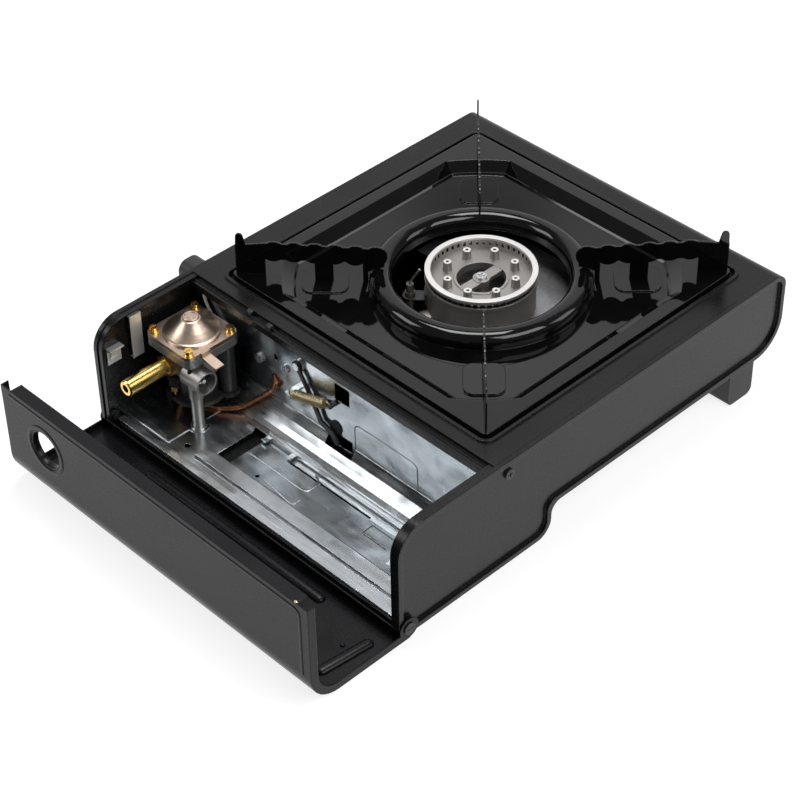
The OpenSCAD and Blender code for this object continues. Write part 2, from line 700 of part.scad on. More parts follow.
// Cast head: rim over a band of slots, sunk face with hollow posts and a bridged throat.
module burner_head() color("#c4c0ba") at_burner() {
  throat_r = 16;
  slot_band_z = flange_z + 2.1;
  slot_h = 3;
  difference() {
    union() {
      difference() {
        union() {
          translate([0, 0, slot_band_z + slot_h]) cylinder(r = head_r, h = head_z - slot_band_z - slot_h);
          translate([0, 0, slot_band_z - 0.1]) cylinder(r = head_r - 1, h = slot_h + 0.2);
          translate([0, 0, head_floor_z - 6]) cylinder(r = skirt_r, h = slot_band_z - head_floor_z + 6);
        }
        translate([0, 0, head_floor_z]) cylinder(r = rim_in_r, h = 20);
        translate([0, 0, head_floor_z - 10]) cylinder(r = rim_in_r - 1.5, h = 10 - 2.2);
      }
      translate([0, 0, head_floor_z - 5]) cylinder(r = throat_r + 1.8, h = 5.6);
      for (i = [0 : posts - 1]) rotate(i * 360 / posts + 22.5) translate([post_ring_r, 0, head_floor_z - 2])
        cylinder(r1 = 3.2, r2 = 2.6, h = 2 + head_z - head_floor_z - 1.2);
    }
    translate([0, 0, head_floor_z - 20]) cylinder(r = throat_r, h = 40);
    for (i = [0 : posts - 1]) rotate(i * 360 / posts + 22.5) translate([post_ring_r, 0, head_floor_z - 8])
      cylinder(r = 1, h = 30);
    for (i = [0 : slots - 1]) rotate((i + 0.5) * 360 / slots)
      translate([rim_in_r - 6, -0.9, slot_band_z]) cube([20, 1.8, slot_h]);
  }
  // bridge and hub for the fixing screw
  difference() {
    union() {
      translate([-throat_r - 0.5, -3.7, head_floor_z - 3]) cube([2 * throat_r + 1, 7.4, 3]);
      translate([0, 0, head_floor_z - 3]) cylinder(r = 5.6, h = 3.6);
    }
    translate([0, 0, head_floor_z - 5]) cylinder(r = 2 + lap, h = 20);
  }
}

// Cast cup that carries the head and takes the gas.
module burner_cup() color("#6d6c6b") at_burner() {
  foot_z = shield_z - 14;
  difference() {
    union() {
      translate([0, 0, flange_z]) cylinder(r = head_r, h = 2);
      translate([0, 0, shield_z + sheet]) cylinder(r = cup_r, h = flange_z - shield_z - sheet + 0.1);
      translate([0, 0, shield_z - 4]) cylinder(r = cup_r - 3, h = 8);
      translate([0, 0, foot_z]) cylinder(r1 = 18, r2 = cup_r - 3, h = 10.01);
      rotate(tube_turn) rotate([0, 90 + tube_drop, 0]) translate([-(shield_z - 5), 0, 10])
        cylinder(r = 11.5, h = 30);
    }
    translate([0, 0, shield_z - 2]) cylinder(r = cup_r - 3.4, h = 60);
    translate([0, 0, head_floor_z - 6.5]) cylinder(r = skirt_r + lap, h = 60);
    translate([0, 0, foot_z + 3]) cylinder(r1 = 14, r2 = cup_r - 6, h = 10.01);
    rotate(tube_turn) rotate([0, 90 + tube_drop, 0]) translate([-(shield_z - 5), 0, 5])
      cylinder(r = 8, h = 60);
  }
  // post under the head's hub
  difference() {
    translate([0, 0, foot_z + 1]) cylinder(r = 4.6, h = head_floor_z - 3 - foot_z - 1);
    translate([0, 0, head_floor_z - 18]) cylinder(r = 1.6, h = 20);
  }
}

module burner_screw() color("#cfd4d4") at_burner() {
  difference() {
    translate([0, 0, head_floor_z + 0.6]) cylinder(r = 3.6, h = 1.8);
    for (a = [30, 120]) rotate(a) translate([-2.2, -0.5, head_floor_z + 1.6]) cube([4.4, 1, 2]);
  }
  translate([0, 0, head_floor_z - 16]) cylinder(r = 1.55, h = 16.7);
}

// Eight-sided reflector on four legs, cut open towards the mixing tube.
module heat_shield() color("#55565a") at_burner() {
  shield_r = 76;
  leg_r = 62;
  leg_w = 12;
  floor_z = shallow_z + sheet;
  difference() {
    translate([0, 0, shield_z]) rotate(22.5) cylinder(r = shield_r, h = sheet, $fn = 8);
    translate([0, 0, shield_z - 1]) cylinder(r = cup_r - 3 + 0.3, h = 4);
    translate([-12, -shield_r, shield_z - 1]) cube([60, shield_r - 15, 4]);
    rotate(tube_turn) translate([20, -45, shield_z - 1]) cube([80, 60, 4]);
  }
  for (a = [45, 135, 180, 225]) rotate(a) translate([leg_r, -leg_w / 2, floor_z]) {
    cube([sheet, leg_w, shield_z - floor_z + 0.1]);
    cube([10, leg_w, sheet]);
  }
}

// Venturi tube from the nozzle to the cup.
tube_start = 42;
tube_l = 76;
module on_tube() at_burner() rotate(tube_turn) rotate([0, 90 + tube_drop, 0])
  translate([-(shield_z - 5), 0, 0]) children();
module mixing_tube() color("#b5b1aa") on_tube() translate([0, 0, tube_start - 1]) rotate_extrude()
  difference() {
  polygon([[8, 0], [13, 0], [13, 4], [10.5, 7], [9, tube_l - 30], [9.5, tube_l - 16],
    [13.5, tube_l - 6], [13.5, tube_l],
    [12, tube_l], [12, tube_l - 5.4], [8, tube_l - 15.6], [7.4, tube_l - 30], [8, 7]]);
}
nozzle_at = tube_start - 1 + tube_l + 2;
module gas_nozzle() color("#b8923f") on_tube() translate([0, 0, nozzle_at]) difference() {
  union() {
    translate([0, 0, -4]) cylinder(r1 = 2, r2 = 3, h = 5);
    cylinder(r = 6, h = 5, $fn = 6);
    translate([0, 0, 4.9]) cylinder(r = 4, h = 5);
  }
  translate([0, 0, -5]) cylinder(r = 0.6, h = 8);
  translate([0, 0, 2]) cylinder(r = pipe_r + 0.3, h = 12);
}

electrode_turn = -48;
electrode_r = 46;
insulator_low = shield_z - 8;
insulator_high = shield_z + 15;
module electrode_clip() color("#b9bdc0") at_burner() rotate(electrode_turn) difference() {
  union() {
    translate([cup_r + 0.02, -5, shield_z + 5]) cube([electrode_r - cup_r, 10, 1]);
    translate([electrode_r, 0, shield_z + 5]) cylinder(r = 5, h = 1);
    intersection() {
      difference() {
        translate([0, 0, shield_z + 3]) cylinder(r = cup_r + 1.02, h = 9);
        translate([0, 0, shield_z + 2]) cylinder(r = cup_r + 0.02, h = 20);
      }
      translate([20, -8, shield_z]) cube([30, 16, 20]);
    }
  }
  translate([electrode_r, 0, shield_z]) cylinder(r = 2.6, h = 20);
}
module electrode_insulator() color("#e9e5da") at_burner() rotate(electrode_turn)
  translate([electrode_r, 0, insulator_low]) difference() {
  union() {
    cylinder(r = 2.55, h = insulator_high - insulator_low);
    translate([0, 0, shield_z + 6 - insulator_low]) cylinder(r = 3.4, h = 3);
  }
  translate([0, 0, -1]) cylinder(r = 0.85, h = 60);
}
module electrode_rod() color("#9a9c9e") at_burner() rotate(electrode_turn) {
  rod_r = 0.8;
  swept_tube([[electrode_r, 0, insulator_low - 3], [electrode_r, 0, insulator_high + 1],
    [electrode_r - 0.6, 0, insulator_high + 2.4], [head_r + 3, 0, flange_z + 5]], rod_r, 10);
}

// High-tension lead from the piezo unit to the electrode.
lead_x = burner_x + electrode_r * cos(electrode_turn);
lead_y = electrode_r * sin(electrode_turn);
lead_from = [piezo_x - 5.2, piezo_y - 8.2, 46];
lead_bend = [
  [0, 0, 0], [0, -1, 0], [0, -2.4, 0], [-2.2, -6, 2.4], [-4, -11, 8], [-4.8, -17, 16], [-4.8, -21, 23],
    [-5, -22.6, 28],
  [-7, -22.4, 30], [-11, -21.4, 29.6], [-22, -12, 16], [-40, 8, 2], [-64, 28, -4], [-86, 48, -5]
];
lead_route = concat([for (p = lead_bend) lead_from + p],
  [[lead_x + 1, lead_y - 2, 41.4], [lead_x, lead_y, insulator_low - 7],
    [lead_x, lead_y, insulator_low - 3.3]]);
module ignition_lead() color("#e8e6e1") at_body() swept_tube(smooth_path(lead_route, 4), 1.1, 8);

// ---------- regulator ----------

cap_t = 1.2;
cap_edge = 2.6;
seal_t = 0.6;
seat_z = reg_z - cap_edge - seal_t;
flange_t = 6;
block_h = 11;
inlet_wall = 1.3;
inlet_depth = 10;
stem_y = reg_y - 3;
stem_z = 47;
stem_boss_r = 7.5;
hex_r = 7.9;
knob_z = 30;
shaft_r = 3;

module at_regulator() at_body() translate([reg_x, reg_y, 0]) children();
module at_cap_screws() for (x = [-1, 1], y = [-1, 1])
  translate([x * screw_pitch / 2, y * screw_pitch / 2, 0]) children();

// Cast body: screw flange, chamber, inlet block, stem boss and guide post.
module regulator_body() color("#8f8d89") at_body() {
  difference() {
    union() {
      translate([reg_x, reg_y, seat_z - flange_t]) linear_extrude(flange_t) round_rect(reg_w, reg_w, 5);
      // block that tapers down from the flange
      translate([reg_x, reg_y, seat_z - block_h]) intersection() {
        rotate([90, 0, 0]) linear_extrude(reg_w, center = true) block_side();
        rotate([90, 0, 90]) linear_extrude(reg_w, center = true) block_side();
      }
      translate([reg_x - 1, reg_y, valve_top]) cylinder(r = valve_r + 1, h = seat_z - valve_top - 1);
      translate([reg_x - 2, reg_y + 1, inlet_z - 5]) cube([inlet_x - reg_x + 3.5, 17, 12]);
      translate([inlet_x, inlet_y, inlet_z]) rotate([90, 0, 0]) cylinder(r = inlet_r + inlet_wall, h = 17);
      translate([reg_x, stem_y, stem_z]) rotate([0, 90, 0]) cylinder(r = stem_boss_r, h = stem_x0 - reg_x);
      translate([post_x, post_y, deep_z + sheet]) cylinder(r = post_r, h = inlet_z - deep_z - sheet);
      translate([post_x, post_y, inlet_z - 14]) cylinder(r = post_r + 0.9, h = 9);
    }
    translate([reg_x, reg_y, seat_z - 8]) cylinder(r = valve_r - 2, h = 10);
    translate([inlet_x, inlet_y + 1, inlet_z]) rotate([90, 0, 0])
      cylinder(r = inlet_r, h = inlet_depth + 1);
    translate([reg_x + 6, stem_y, stem_z]) rotate([0, 90, 0]) cylinder(r = stem_bore, h = 20);
    translate([stem_x0, stem_y, stem_z]) rotate([0, 90, 0]) cylinder(r = hex_r + 0.3, h = 10);
    at_screw_shanks() cylinder(r = 1.9 + lap, h = 30);
    translate([piezo_x, piezo_y, 0]) cylinder(r = piezo_r + 0.4, h = piezo_top + 0.4);
  }
}
module block_side() polygon([[-reg_w / 2 + 6, 0], [reg_w / 2 - 6, 0],
  [reg_w / 2 - 1.5, block_h - flange_t + 0.1],
  [reg_w / 2 - 1.5, block_h - 1], [1.5 - reg_w / 2, block_h - 1],
    [1.5 - reg_w / 2, block_h - flange_t + 0.1]]);
module at_screw_shanks()
  for (x = [-1, 1], y = [-1, 1])
    translate([reg_x + x * screw_pitch / 2, reg_y + y * screw_pitch / 2, 40]) children();

module diaphragm() color("#3a3230") at_regulator() translate([0, 0, seat_z]) linear_extrude(seal_t)
  difference() {
  round_rect(reg_w - 1, reg_w - 1, 5);
  at_cap_screws() circle(r = 1.9 + lap);
}

// Pressed cap: square plate with a turned-down edge, bell-shaped dome with a boss, and a folded tab.
function dome_line(d) = [
  [dome_r - d, -cap_edge], [dome_r - d, 1.1 - d], [dome_r - 0.5 - d, 1.7 - d],
    [dome_r - 1.6 - d / 2, 2.1 - d],
  [dome_r * 0.8 - d / 2, dome_h * 0.29 - d], [dome_r * 0.66 - d / 2, dome_h * 0.45 - d],
  [dome_r * 0.53 - d / 2, dome_h * 0.62 - d], [dome_r * 0.41 - d / 2, dome_h * 0.78 - d],
    [dome_r * 0.335 - d / 2, dome_h * 0.87 - d]
];
module regulator_cap() color("#cdb295") at_regulator() {
  boss_r = dome_r * 0.28;
  difference() {
    translate([0, 0, reg_z - cap_edge]) linear_extrude(cap_edge) difference() {
      round_rect(reg_w, reg_w, 5);
      at_cap_screws() circle(r = 1.9 + lap);
    }
    translate([0, 0, reg_z - cap_edge - 1]) cylinder(r = dome_r - cap_t, h = cap_edge + 2);
  }
  translate([0, 0, reg_z]) rotate_extrude() difference() {
    polygon(concat(dome_line(0), [[boss_r, dome_h * 0.9], [boss_r, dome_h - 0.3], [boss_r - 0.3, dome_h],
      [boss_r - 1, dome_h], [boss_r - 1.2, dome_h - 0.6], [2.2, dome_h - 0.6], [2, dome_h - 0.2],
        [0, dome_h - 0.2], [0, -cap_edge]]));
    polygon(concat([[0, -cap_edge - 1], [dome_r - cap_t, -cap_edge - 1]],
      dome_line(cap_t), [[0, dome_h * 0.87 - cap_t]]));
  }
  // tab folded out beside the inlet
  translate([4.2, reg_w / 2, reg_z - cap_edge]) {
    translate([0, -0.5, 0]) cube([6.8, 1.8, cap_edge]);
    translate([0, 0.1, -1.6]) cube([6.8, 1.2, 2]);
    translate([0, 0.5, -1.6]) rotate([-8, 0, 0]) cube([6.8, 13.5, cap_t]);
  }
}

module regulator_spring() color("#b0b4b6") at_regulator() {
  low = seat_z + seal_t;
  h = dome_h + cap_edge - cap_t - 2.4;
  pitch = h / 5;
  ring_r = dome_r * 0.2;
  rotate_extrude() {
    translate([ring_r - 0.25, low]) square([0.5, h]);
    for (i = [0 : 4]) translate([ring_r, low + (i + 0.5) * pitch]) circle(r = 0.8, $fn = 16);
  }
}

module cap_screws() color("#b8892f") at_regulator() at_cap_screws() {
  difference() {
    union() {
      translate([0, 0, reg_z]) cylinder(r = 3.3, h = 0.9);
      translate([0, 0, reg_z + 0.8]) cylinder(r = 2.7, h = 2.8);
    }
    translate([-4, -0.5, reg_z + 2.5]) cube([8, 1, 3]);
  }
  translate([0, 0, seat_z - flange_t]) cylinder(r = 1.9, h = reg_z - seat_z + flange_t + 0.1);
}

// Brass stem for a hose, screwed into the casting.
stem_x0 = reg_x + 16;
stem_x1 = right_x - 1.5;
stem_bore = 2.8;
module hose_stem() color("#c79a3c") at_body() translate([stem_x0, stem_y, stem_z]) rotate([0, 90, 0])
  difference() {
  union() {
    cylinder(r = hex_r, h = 6.5, $fn = 6);
    cylinder(r = stem_r, h = stem_x1 - stem_x0 - 1);
    translate([0, 0, stem_x1 - stem_x0 - 1.01]) cylinder(r1 = stem_r, r2 = stem_r - 0.8, h = 1.01);
  }
  translate([0, 0, -1]) cylinder(r = stem_bore, h = stem_x1 - stem_x0 + 3);
}

module inlet_seal() color("#111111") at_body()
  translate([inlet_x, inlet_y - inlet_depth + 2.5, inlet_z]) rotate([90, 0, 0])
  rotate_extrude() translate([4, 0]) square([inlet_r - 4 - lap, 2.5]);
module inlet_pin() color("#c8c9c9") at_body() translate([inlet_x, inlet_y - 3, inlet_z]) rotate([90, 0, 0])
  union() {
    cylinder(r = 1.6, h = inlet_depth - 3);
    translate([0, 0, 3]) cylinder(r = 3.2, h = inlet_depth - 6);
  }

module post_ring() color("#d9dcde") at_body() translate([post_x, post_y, channel_z + seat_rise])
  rotate_extrude()
  translate([post_r + lap, 0]) square([1.5, 0.8]);

valve_r = 14;
valve_top = inlet_z - inlet_r - 2;
valve_low = ledge_z + 10;
outlet_x = reg_x + 13;
outlet_y = reg_y - 5;
outlet_z = 26;
outlet_r = 5;
nut_h = 4;
nut_r = 4.2;
module valve_body() color("#4b4a49") at_body() {
  boss_r = 5.8;
  difference() {
    union() {
      translate([reg_x - 1, reg_y, valve_low]) cylinder(r = valve_r, h = valve_top - valve_low);
      translate([knob_x, reg_y - valve_r + 4, knob_z]) rotate([90, 0, 0]) cylinder(r = boss_r, h = 9);
      // threaded outlet beside the chamber, pointing down
      translate([outlet_x, outlet_y, outlet_z]) {
        cylinder(r = outlet_r - 0.6, h = 8);
        for (i = [0 : 3]) translate([0, 0, 0.6 + i * 1.9]) cylinder(r = outlet_r, h = 1.1);
      }
    }
    translate([knob_x, reg_y - 8, knob_z]) rotate([90, 0, 0]) cylinder(r = shaft_r + lap, h = 20);
    // room for the nut and the pipe below the outlet
    translate([outlet_x, outlet_y, valve_low - 1]) cylinder(r = nut_r + 0.4, h = outlet_z - valve_low + 1);
  }
}

// Foot plate of the valve, with a lobe under the piezo unit and two legs on the tray.
module valve_base() color("#1b1b1c") at_body() {
  base_t = 3;
  difference() {
    translate([0, 0, valve_low - base_t]) linear_extrude(base_t) {
      translate([reg_x - 1, reg_y]) circle(r = valve_r + 5);
      translate([piezo_x, piezo_y]) circle(r = piezo_r + 1.5);
      round_bar([piezo_x, piezo_y], [reg_x - 6, reg_y], 12);
    }
    // room beside the sloping tray, and a notch for the pipe
    translate([divider_x - 5, reg_y - 40, 0]) cube([13, 80, 60]);
    linear_extrude(valve_low + 1) round_bar([outlet_x, outlet_y - 0.6], [outlet_x + 12, outlet_y - 0.6],
      2 * pipe_r + 2.4);
  }
  leg_z = channel_z + seat_rise;
  for (x = [divider_x + 19, divider_x + 37]) translate([x, reg_y - 14, leg_z])
    cylinder(r = 3, h = valve_low - base_t - leg_z + 0.1);
}
module piezo_unit() color("#3d3e40") at_body() translate([piezo_x, piezo_y, 0]) {
  translate([0, 0, valve_low]) cylinder(r = piezo_r, h = piezo_top - valve_low);
  translate([-5.2, 0, 46]) rotate([90, 0, 0]) cylinder(r = 1.8, h = 8);
}

// Copper pipe that loops from the valve to the nozzle behind the divider.
pipe_bend = [
  [0, 0, -0.1], [0, 0, -1.5], [0, 0, -3.5], [-0.8, -0.6, -7], [-3, -1.6, -10.4], [-6, -0.8, -12.2],
    [-9, 5.2, -12.6], [-12, 13, -12.6],
  [-15.4, 21, -12.6], [-20.6, 28.6, -12.1], [-27, 35.6, -9.2], [-31, 43.4, -1.6], [-34, 50.6, 5.6],
    [-35.2, 55, 10.4],
  [-35.8, 57.2, 14], [-36.8, 56.6, 16.8], [-38.7, 54, 17.6], [-41.4, 51.9, 17.6], [-44, 51, 17.6]
];
pipe_route = [for (p = pipe_bend) [outlet_x, outlet_y, outlet_z - nut_h] + p];
module copper_pipe() color("#b0592c") at_body() swept_tube(smooth_path(pipe_route, 3), pipe_r, 12);
module pipe_nut() color("#b8923f") at_body() translate([outlet_x, outlet_y, outlet_z - nut_h])
  cylinder(r = nut_r, h = nut_h, $fn = 6);

// ---------- controls ----------

module valve_shaft() color("#bfc3c6") at_body() translate([knob_x, 0, knob_z]) rotate([90, 0, 0])
  translate([0, 0, 9 - reg_y]) cylinder(r = shaft_r, h = 6 - front_y + reg_y - 9);

// Round knob with a grip bar and a skirt.
module control_knob() color("#1c1c1d") at_body() translate([knob_x, front_y - 1, knob_z])
  rotate([90, 0, 0]) difference() {
  union() {
    cylinder(r = knob_r, h = 3);
    translate([0, 0, 2.9]) cylinder(r1 = knob_r - 1, r2 = knob_r - 3, h = 5.1);
    intersection() {
      translate([-4, -knob_r, 3]) cube([8, 2 * knob_r, knob_l - 3]);
      cylinder(r = knob_r - 2, h = knob_l);
    }
  }
  translate([0, 0, -1]) cylinder(r = shaft_r + lap / 2, h = 6);
  translate([-0.5, knob_r - 9, knob_l - 0.6]) cube([1, 6, 2]);
}

// Finger piece of the cartridge lock, on a neck through the front panel.
module lock_lever() color("#1c1c1d") at_body() {
  grip_w = 18;
  grip_h = 16;
  translate([slot_x, front_y - grip_gap, lever_top_z]) rotate([90, 0, 0]) linear_extrude(grip_l)
    round_rect(grip_w, grip_h, 7);
  translate([slot_x - 2.6, front_y - 1, lever_top_z - 4]) cube([5.2, face_sink + sheet + 4, 8]);
}
module lever_plate() color("#c2c7ca") at_body()
  translate([slot_x - 8, front_y + face_sink + sheet + 3, lever_top_z - 12]) cube([16, 1.2, 20]);

// ---------- lid ----------

lid_free_x = lip_x + 1.2;
lid_end_y = rear_y + lid_gap;
lid_edge_y = inner_y - flange_l - 0.8;

// Lid outline in its closed place, between two depths outside the body.
module lid_zone()
  translate([lid_free_x, hinge_z - 1]) square([right_x, top_z + 10]);
module lid_form() {
  ear_r = 7.4;
  difference() {
    union() {
      stand(-lid_end_y - sheet, lid_end_y + sheet) intersection() {
        side_band(-lid_skin, -lid_gap);
        lid_zone();
      }
      for (side = [0, 1]) mirror([0, side, 0]) stand(lid_end_y, lid_end_y + sheet) {
        intersection() {
          side_band(-lid_skin, lid_flange_w);
          translate([lid_free_x, hinge_z]) square([right_x, top_z + 10]);
        }
        translate([hinge_x, hinge_z]) circle(r = ear_r);
      }
      // folded free edge
      translate([lid_free_x, -lid_edge_y, top_z + lid_gap - lid_edge_d])
        cube([sheet, 2 * lid_edge_y, lid_edge_d + sheet]);
    }
    translate([hinge_x, 0, hinge_z]) rotate([90, 0, 0])
      cylinder(r = hinge_r + lap, h = 2 * body_d, center = true);
    lid_window_at() cylinder(r = lid_window_r, h = 20, center = true);
  }
  // dished collar round the window
  lid_window_at() difference() {
    translate([0, 0, lid_gap - 2]) cylinder(r = lid_window_r + 3.5, h = 2.2);
    translate([0, 0, lid_gap - 3]) cylinder(r = lid_window_r, h = 10);
    translate([0, 0, lid_gap - 1.2]) cylinder(r = lid_window_r + 2.7, h = 10);
  }
}
module lid_window_at() translate([hinge_x - 39, front_y + 38.5, top_z]) children();

// Rests open, turned a quarter turn about the hinge.
module opened()
  translate([hinge_x, 0, hinge_z]) rotate([0, 90, 0]) translate([-hinge_x, 0, -hinge_z]) children();
module lid() color("#232325") at_body() opened() lid_form();
module lid_stud() color("#9a9da0") at_body() opened() translate([right_x + lid_gap, rear_y - 22, 40])
  rotate([0, -90, 0]) cylinder(r = 1.6, h = 1);

module hinge_screws() color("#1b1b1c") at_body() for (side = [0, 1]) mirror([0, side, 0])
  translate([hinge_x, 0, hinge_z]) rotate([-90, 0, 0]) {
    translate([0, 0, inner_y - 4]) cylinder(r = hinge_r, h = rear_y + lid_skin - inner_y + 4.2);
    translate([0, 0, inner_y - 1.6]) cylinder(r = 4, h = 1.5);
    difference() {
      translate([0, 0, rear_y + lid_skin + lap]) cylinder(r = 4.2, h = screw_rise - lid_skin - lap);
      translate([-3, -0.4, rear_y + 1.5]) cube([6, 0.8, 3]);
    }
  }

// ---------- pan and supports ----------

pad_l = 30;
pad_w = 26;
pad_r = 7;
pad_h = 1;
pad_at = 100;
dish_slope = 9;
lip_h = pan_rise + ledge_drop;

// Hollow of the dish: a wide cone whose four sides are cut straight, grown by d.
module dish_form(d, h) {
  rise = dish_slope * h / dish_depth;
  low = dish_w / 2 - dish_slope + d;
  intersection() {
    cylinder(r1 = dish_r - dish_slope + d, r2 = dish_r - dish_slope + d + rise, h = h);
    for_both_ways() polygon([[-low, 0], [low, 0], [low + rise, h], [-low - rise, h]]);
  }
}
module for_both_ways() intersection_for(a = [0, 90])
  rotate(a) rotate([90, 0, 0]) translate([0, 0, -dish_r - 5]) linear_extrude(2 * dish_r + 10) children();

// Enamelled pan: bordered square with a dish, a hollow collar and four pads.
module drip_pan() color("#141416") at_burner() {
  difference() {
    union() {
      translate([0, 0, pan_top - lip_h]) linear_extrude(lip_h) round_rect(pan_w, pan_w, 4);
      translate([0, 0, dish_z - pan_t]) dish_form(pan_t, dish_depth);
    }
    // under side, outside the dish
    difference() {
      translate([0, 0, pan_top - pan_t - 20]) linear_extrude(20)
        round_rect(pan_w - 2 * pan_t, pan_w - 2 * pan_t, 3);
      translate([0, 0, dish_z - pan_t]) dish_form(pan_t, dish_depth);
    }
    translate([0, 0, dish_z]) dish_form(0, dish_depth + 0.1);
    translate([0, 0, dish_z - 5]) cylinder(r = collar_r - 1, h = 10);
  }
  pan_collar();
  for (i = [0 : 3]) rotate(45 + i * 90) translate([pad_at, 0, dish_z - 0.1])
    linear_extrude(pad_h + 0.1) round_rect(pad_l, pad_w, pad_r);
}

module collar_section(d) {
  w = collar_r - collar_hole_r;
  r = 6.5;
  difference() {
    union() {
      translate([collar_hole_r + d, dish_z - pan_t]) square([w - 2 * d, collar_h - r + pan_t]);
      translate([collar_hole_r + r, dish_z]) square([w - 2 * r, collar_h - d]);
      translate([collar_hole_r + r, collar_z - r]) circle(r = r - d);
      translate([collar_r - r, collar_z - r]) circle(r = r - d);
    }
    translate([0, dish_z - pan_t - 9]) square([collar_r + 5, 9]);
  }
}
module pan_collar() rotate_extrude() {
  difference() {
    collar_section(0);
    collar_section(pan_t);
    translate([collar_hole_r + pan_t, dish_z - pan_t - 1])
      square([collar_r - collar_hole_r - 2 * pan_t, 3]);
  }
  translate([collar_r - pan_t, dish_z - pan_t]) square([3, pan_t]);
}

// Notched support blade, drawn in its radius and Z, on a diagonal of the pan.
module blade_form() {
  bar_in = 62;
  bar_out = 139;
  bar_in_z = top_z + 20;
  bar_out_z = top_z + 25.5;
  under_in_z = top_z + 9.5;
  under_out_z = top_z + 13;
  prong_z = top_z + prong_rise;
  mid_leg = [94.7, 106.6];
  difference() {
    union() {
      // bar, outer leg with prong, middle leg, inner leg over the collar
      polygon([[bar_in, under_in_z], [bar_out, under_out_z], [bar_out, bar_out_z], [bar_in, bar_in_z]]);
      polygon([[bar_out - 1, pan_top], [blade_reach, pan_top], [blade_reach, top_z + 24],
        [bar_out - 1, bar_out_z]]);
      polygon([[blade_reach - 8, top_z + 20], [blade_reach, top_z + 20], [blade_reach - 0.6, prong_z - 2],
        [blade_reach - 5.4, prong_z - 2]]);
      translate([blade_reach - 3, prong_z - 2.2]) circle(r = 2.4);
      translate([mid_leg[0], dish_z + pad_h]) square([mid_leg[1] - mid_leg[0],
        under_out_z - dish_z - pad_h]);
      translate([collar_r + 0.4, dish_z]) square([3.4, under_in_z - dish_z + 2]);
      polygon([[bar_in, collar_z + 1.5], [collar_r + 3, collar_z - 3], [collar_r + 3, under_in_z + 2],
        [bar_in, under_in_z + 2]]);
      // rounded peaks between the notches
      for (i = [0 : 5]) translate([67.5 + i * 13, bar_in_z + 0.35 + i * 0.93 - 6]) circle(r = 7.6);
    }
    // room for the collar's round top
    translate([0, collar_z - 3.2]) difference() {
      translate([55, -20]) square([collar_r - 55 + 0.4, 20]);
    }
    translate([collar_r - 6.5, collar_z - 6.5]) circle(r = 6.9);
    translate([50, collar_z - 12]) square([collar_r - 6.5 - 50, 12.4]);
  }
}
module support(turn) color("#101011") at_burner() rotate(45 + turn)
  translate([0, blade_t / 2, 0]) rotate([90, 0, 0]) linear_extrude(blade_t) blade_form();
module support_a() support(0);
module support_b() support(90);
module support_c() support(180);
module support_d() support(270);

top_plate();
bottom_plate();
front_panel();
rear_panel();
divider_wall();
cartridge_tray();
foot_front();
foot_rear();
rest_pads();
panel_screws();
divider_screws();
hinge_screws();
front_strap();
catch_bracket();
divider_plug();
slide_rail();
heat_shield();
burner_cup();
burner_head();
burner_screw();
mixing_tube();
gas_nozzle();
electrode_clip();
electrode_insulator();
electrode_rod();
ignition_lead();
regulator_body();
regulator_cap();
diaphragm();
regulator_spring();
cap_screws();
hose_stem();
inlet_seal();
inlet_pin();
post_ring();
valve_body();
valve_base();
piezo_unit();
copper_pipe();
pipe_nut();
arm_pivot();
release_arm();
tension_spring();
slide_plate();
cartridge_stop();
valve_shaft();
control_knob();
lock_lever();
lever_plate();
lid();
lid_stud();
drip_pan();
support_a();
support_b();
support_c();
support_d();
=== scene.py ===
# %% [markdown]
# # A table-top gas stove in paint, enamel and plated steel
#
# The stove is a pressed steel box with an enamelled pan on top and a bay for a gas cartridge at its side.
# Its solids come from the construction model. Here each of them gets the finish of the real piece, and the
# few thin things that are nicer to make in Blender are added: cut lines, pressed ribs, the rim of the lid's
# window, two bent tongues and a wound spring.
#
# Everything is in metres, in the frame of the construction model: +X points to the cartridge bay, +Y to the
# rear panel and +Z up. The first step loads the solids.

# %% Load the solids
import math
import bpy
from mathutils import Matrix, Vector


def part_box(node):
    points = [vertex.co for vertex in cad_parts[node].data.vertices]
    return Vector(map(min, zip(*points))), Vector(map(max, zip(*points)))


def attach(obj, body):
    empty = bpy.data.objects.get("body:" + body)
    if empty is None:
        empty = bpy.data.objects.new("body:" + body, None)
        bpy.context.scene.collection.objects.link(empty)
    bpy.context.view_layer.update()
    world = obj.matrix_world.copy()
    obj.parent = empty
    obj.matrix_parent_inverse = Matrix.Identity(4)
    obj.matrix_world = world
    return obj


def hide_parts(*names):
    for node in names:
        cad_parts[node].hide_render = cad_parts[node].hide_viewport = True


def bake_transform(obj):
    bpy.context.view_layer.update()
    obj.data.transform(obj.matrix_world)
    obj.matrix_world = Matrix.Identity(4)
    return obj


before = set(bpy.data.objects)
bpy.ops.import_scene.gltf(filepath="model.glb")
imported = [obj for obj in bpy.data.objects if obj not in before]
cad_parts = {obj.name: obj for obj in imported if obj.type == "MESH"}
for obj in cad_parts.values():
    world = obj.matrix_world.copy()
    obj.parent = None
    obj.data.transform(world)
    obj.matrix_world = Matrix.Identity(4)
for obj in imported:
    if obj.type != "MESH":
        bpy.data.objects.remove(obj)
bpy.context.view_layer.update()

# %% [markdown]
# ## Where the camera stands
#
# The stove is seen from above its right rear corner, through a long lens. A camera looks along its own -Z, so
# its rotation is built from the direction that points back from the stove to the lens, turned by a small roll.
# Building the three axes by hand keeps the horizon exact, which a track-to constraint would not.

# %% Camera
yaw, rise, roll = math.radians(136.21), math.radians(39.98), math.radians(-0.975)
lens_place = (0.78185, 0.81845, 0.96546)
focal_length, sensor_width = 102.97, 36.0  # in millimetres

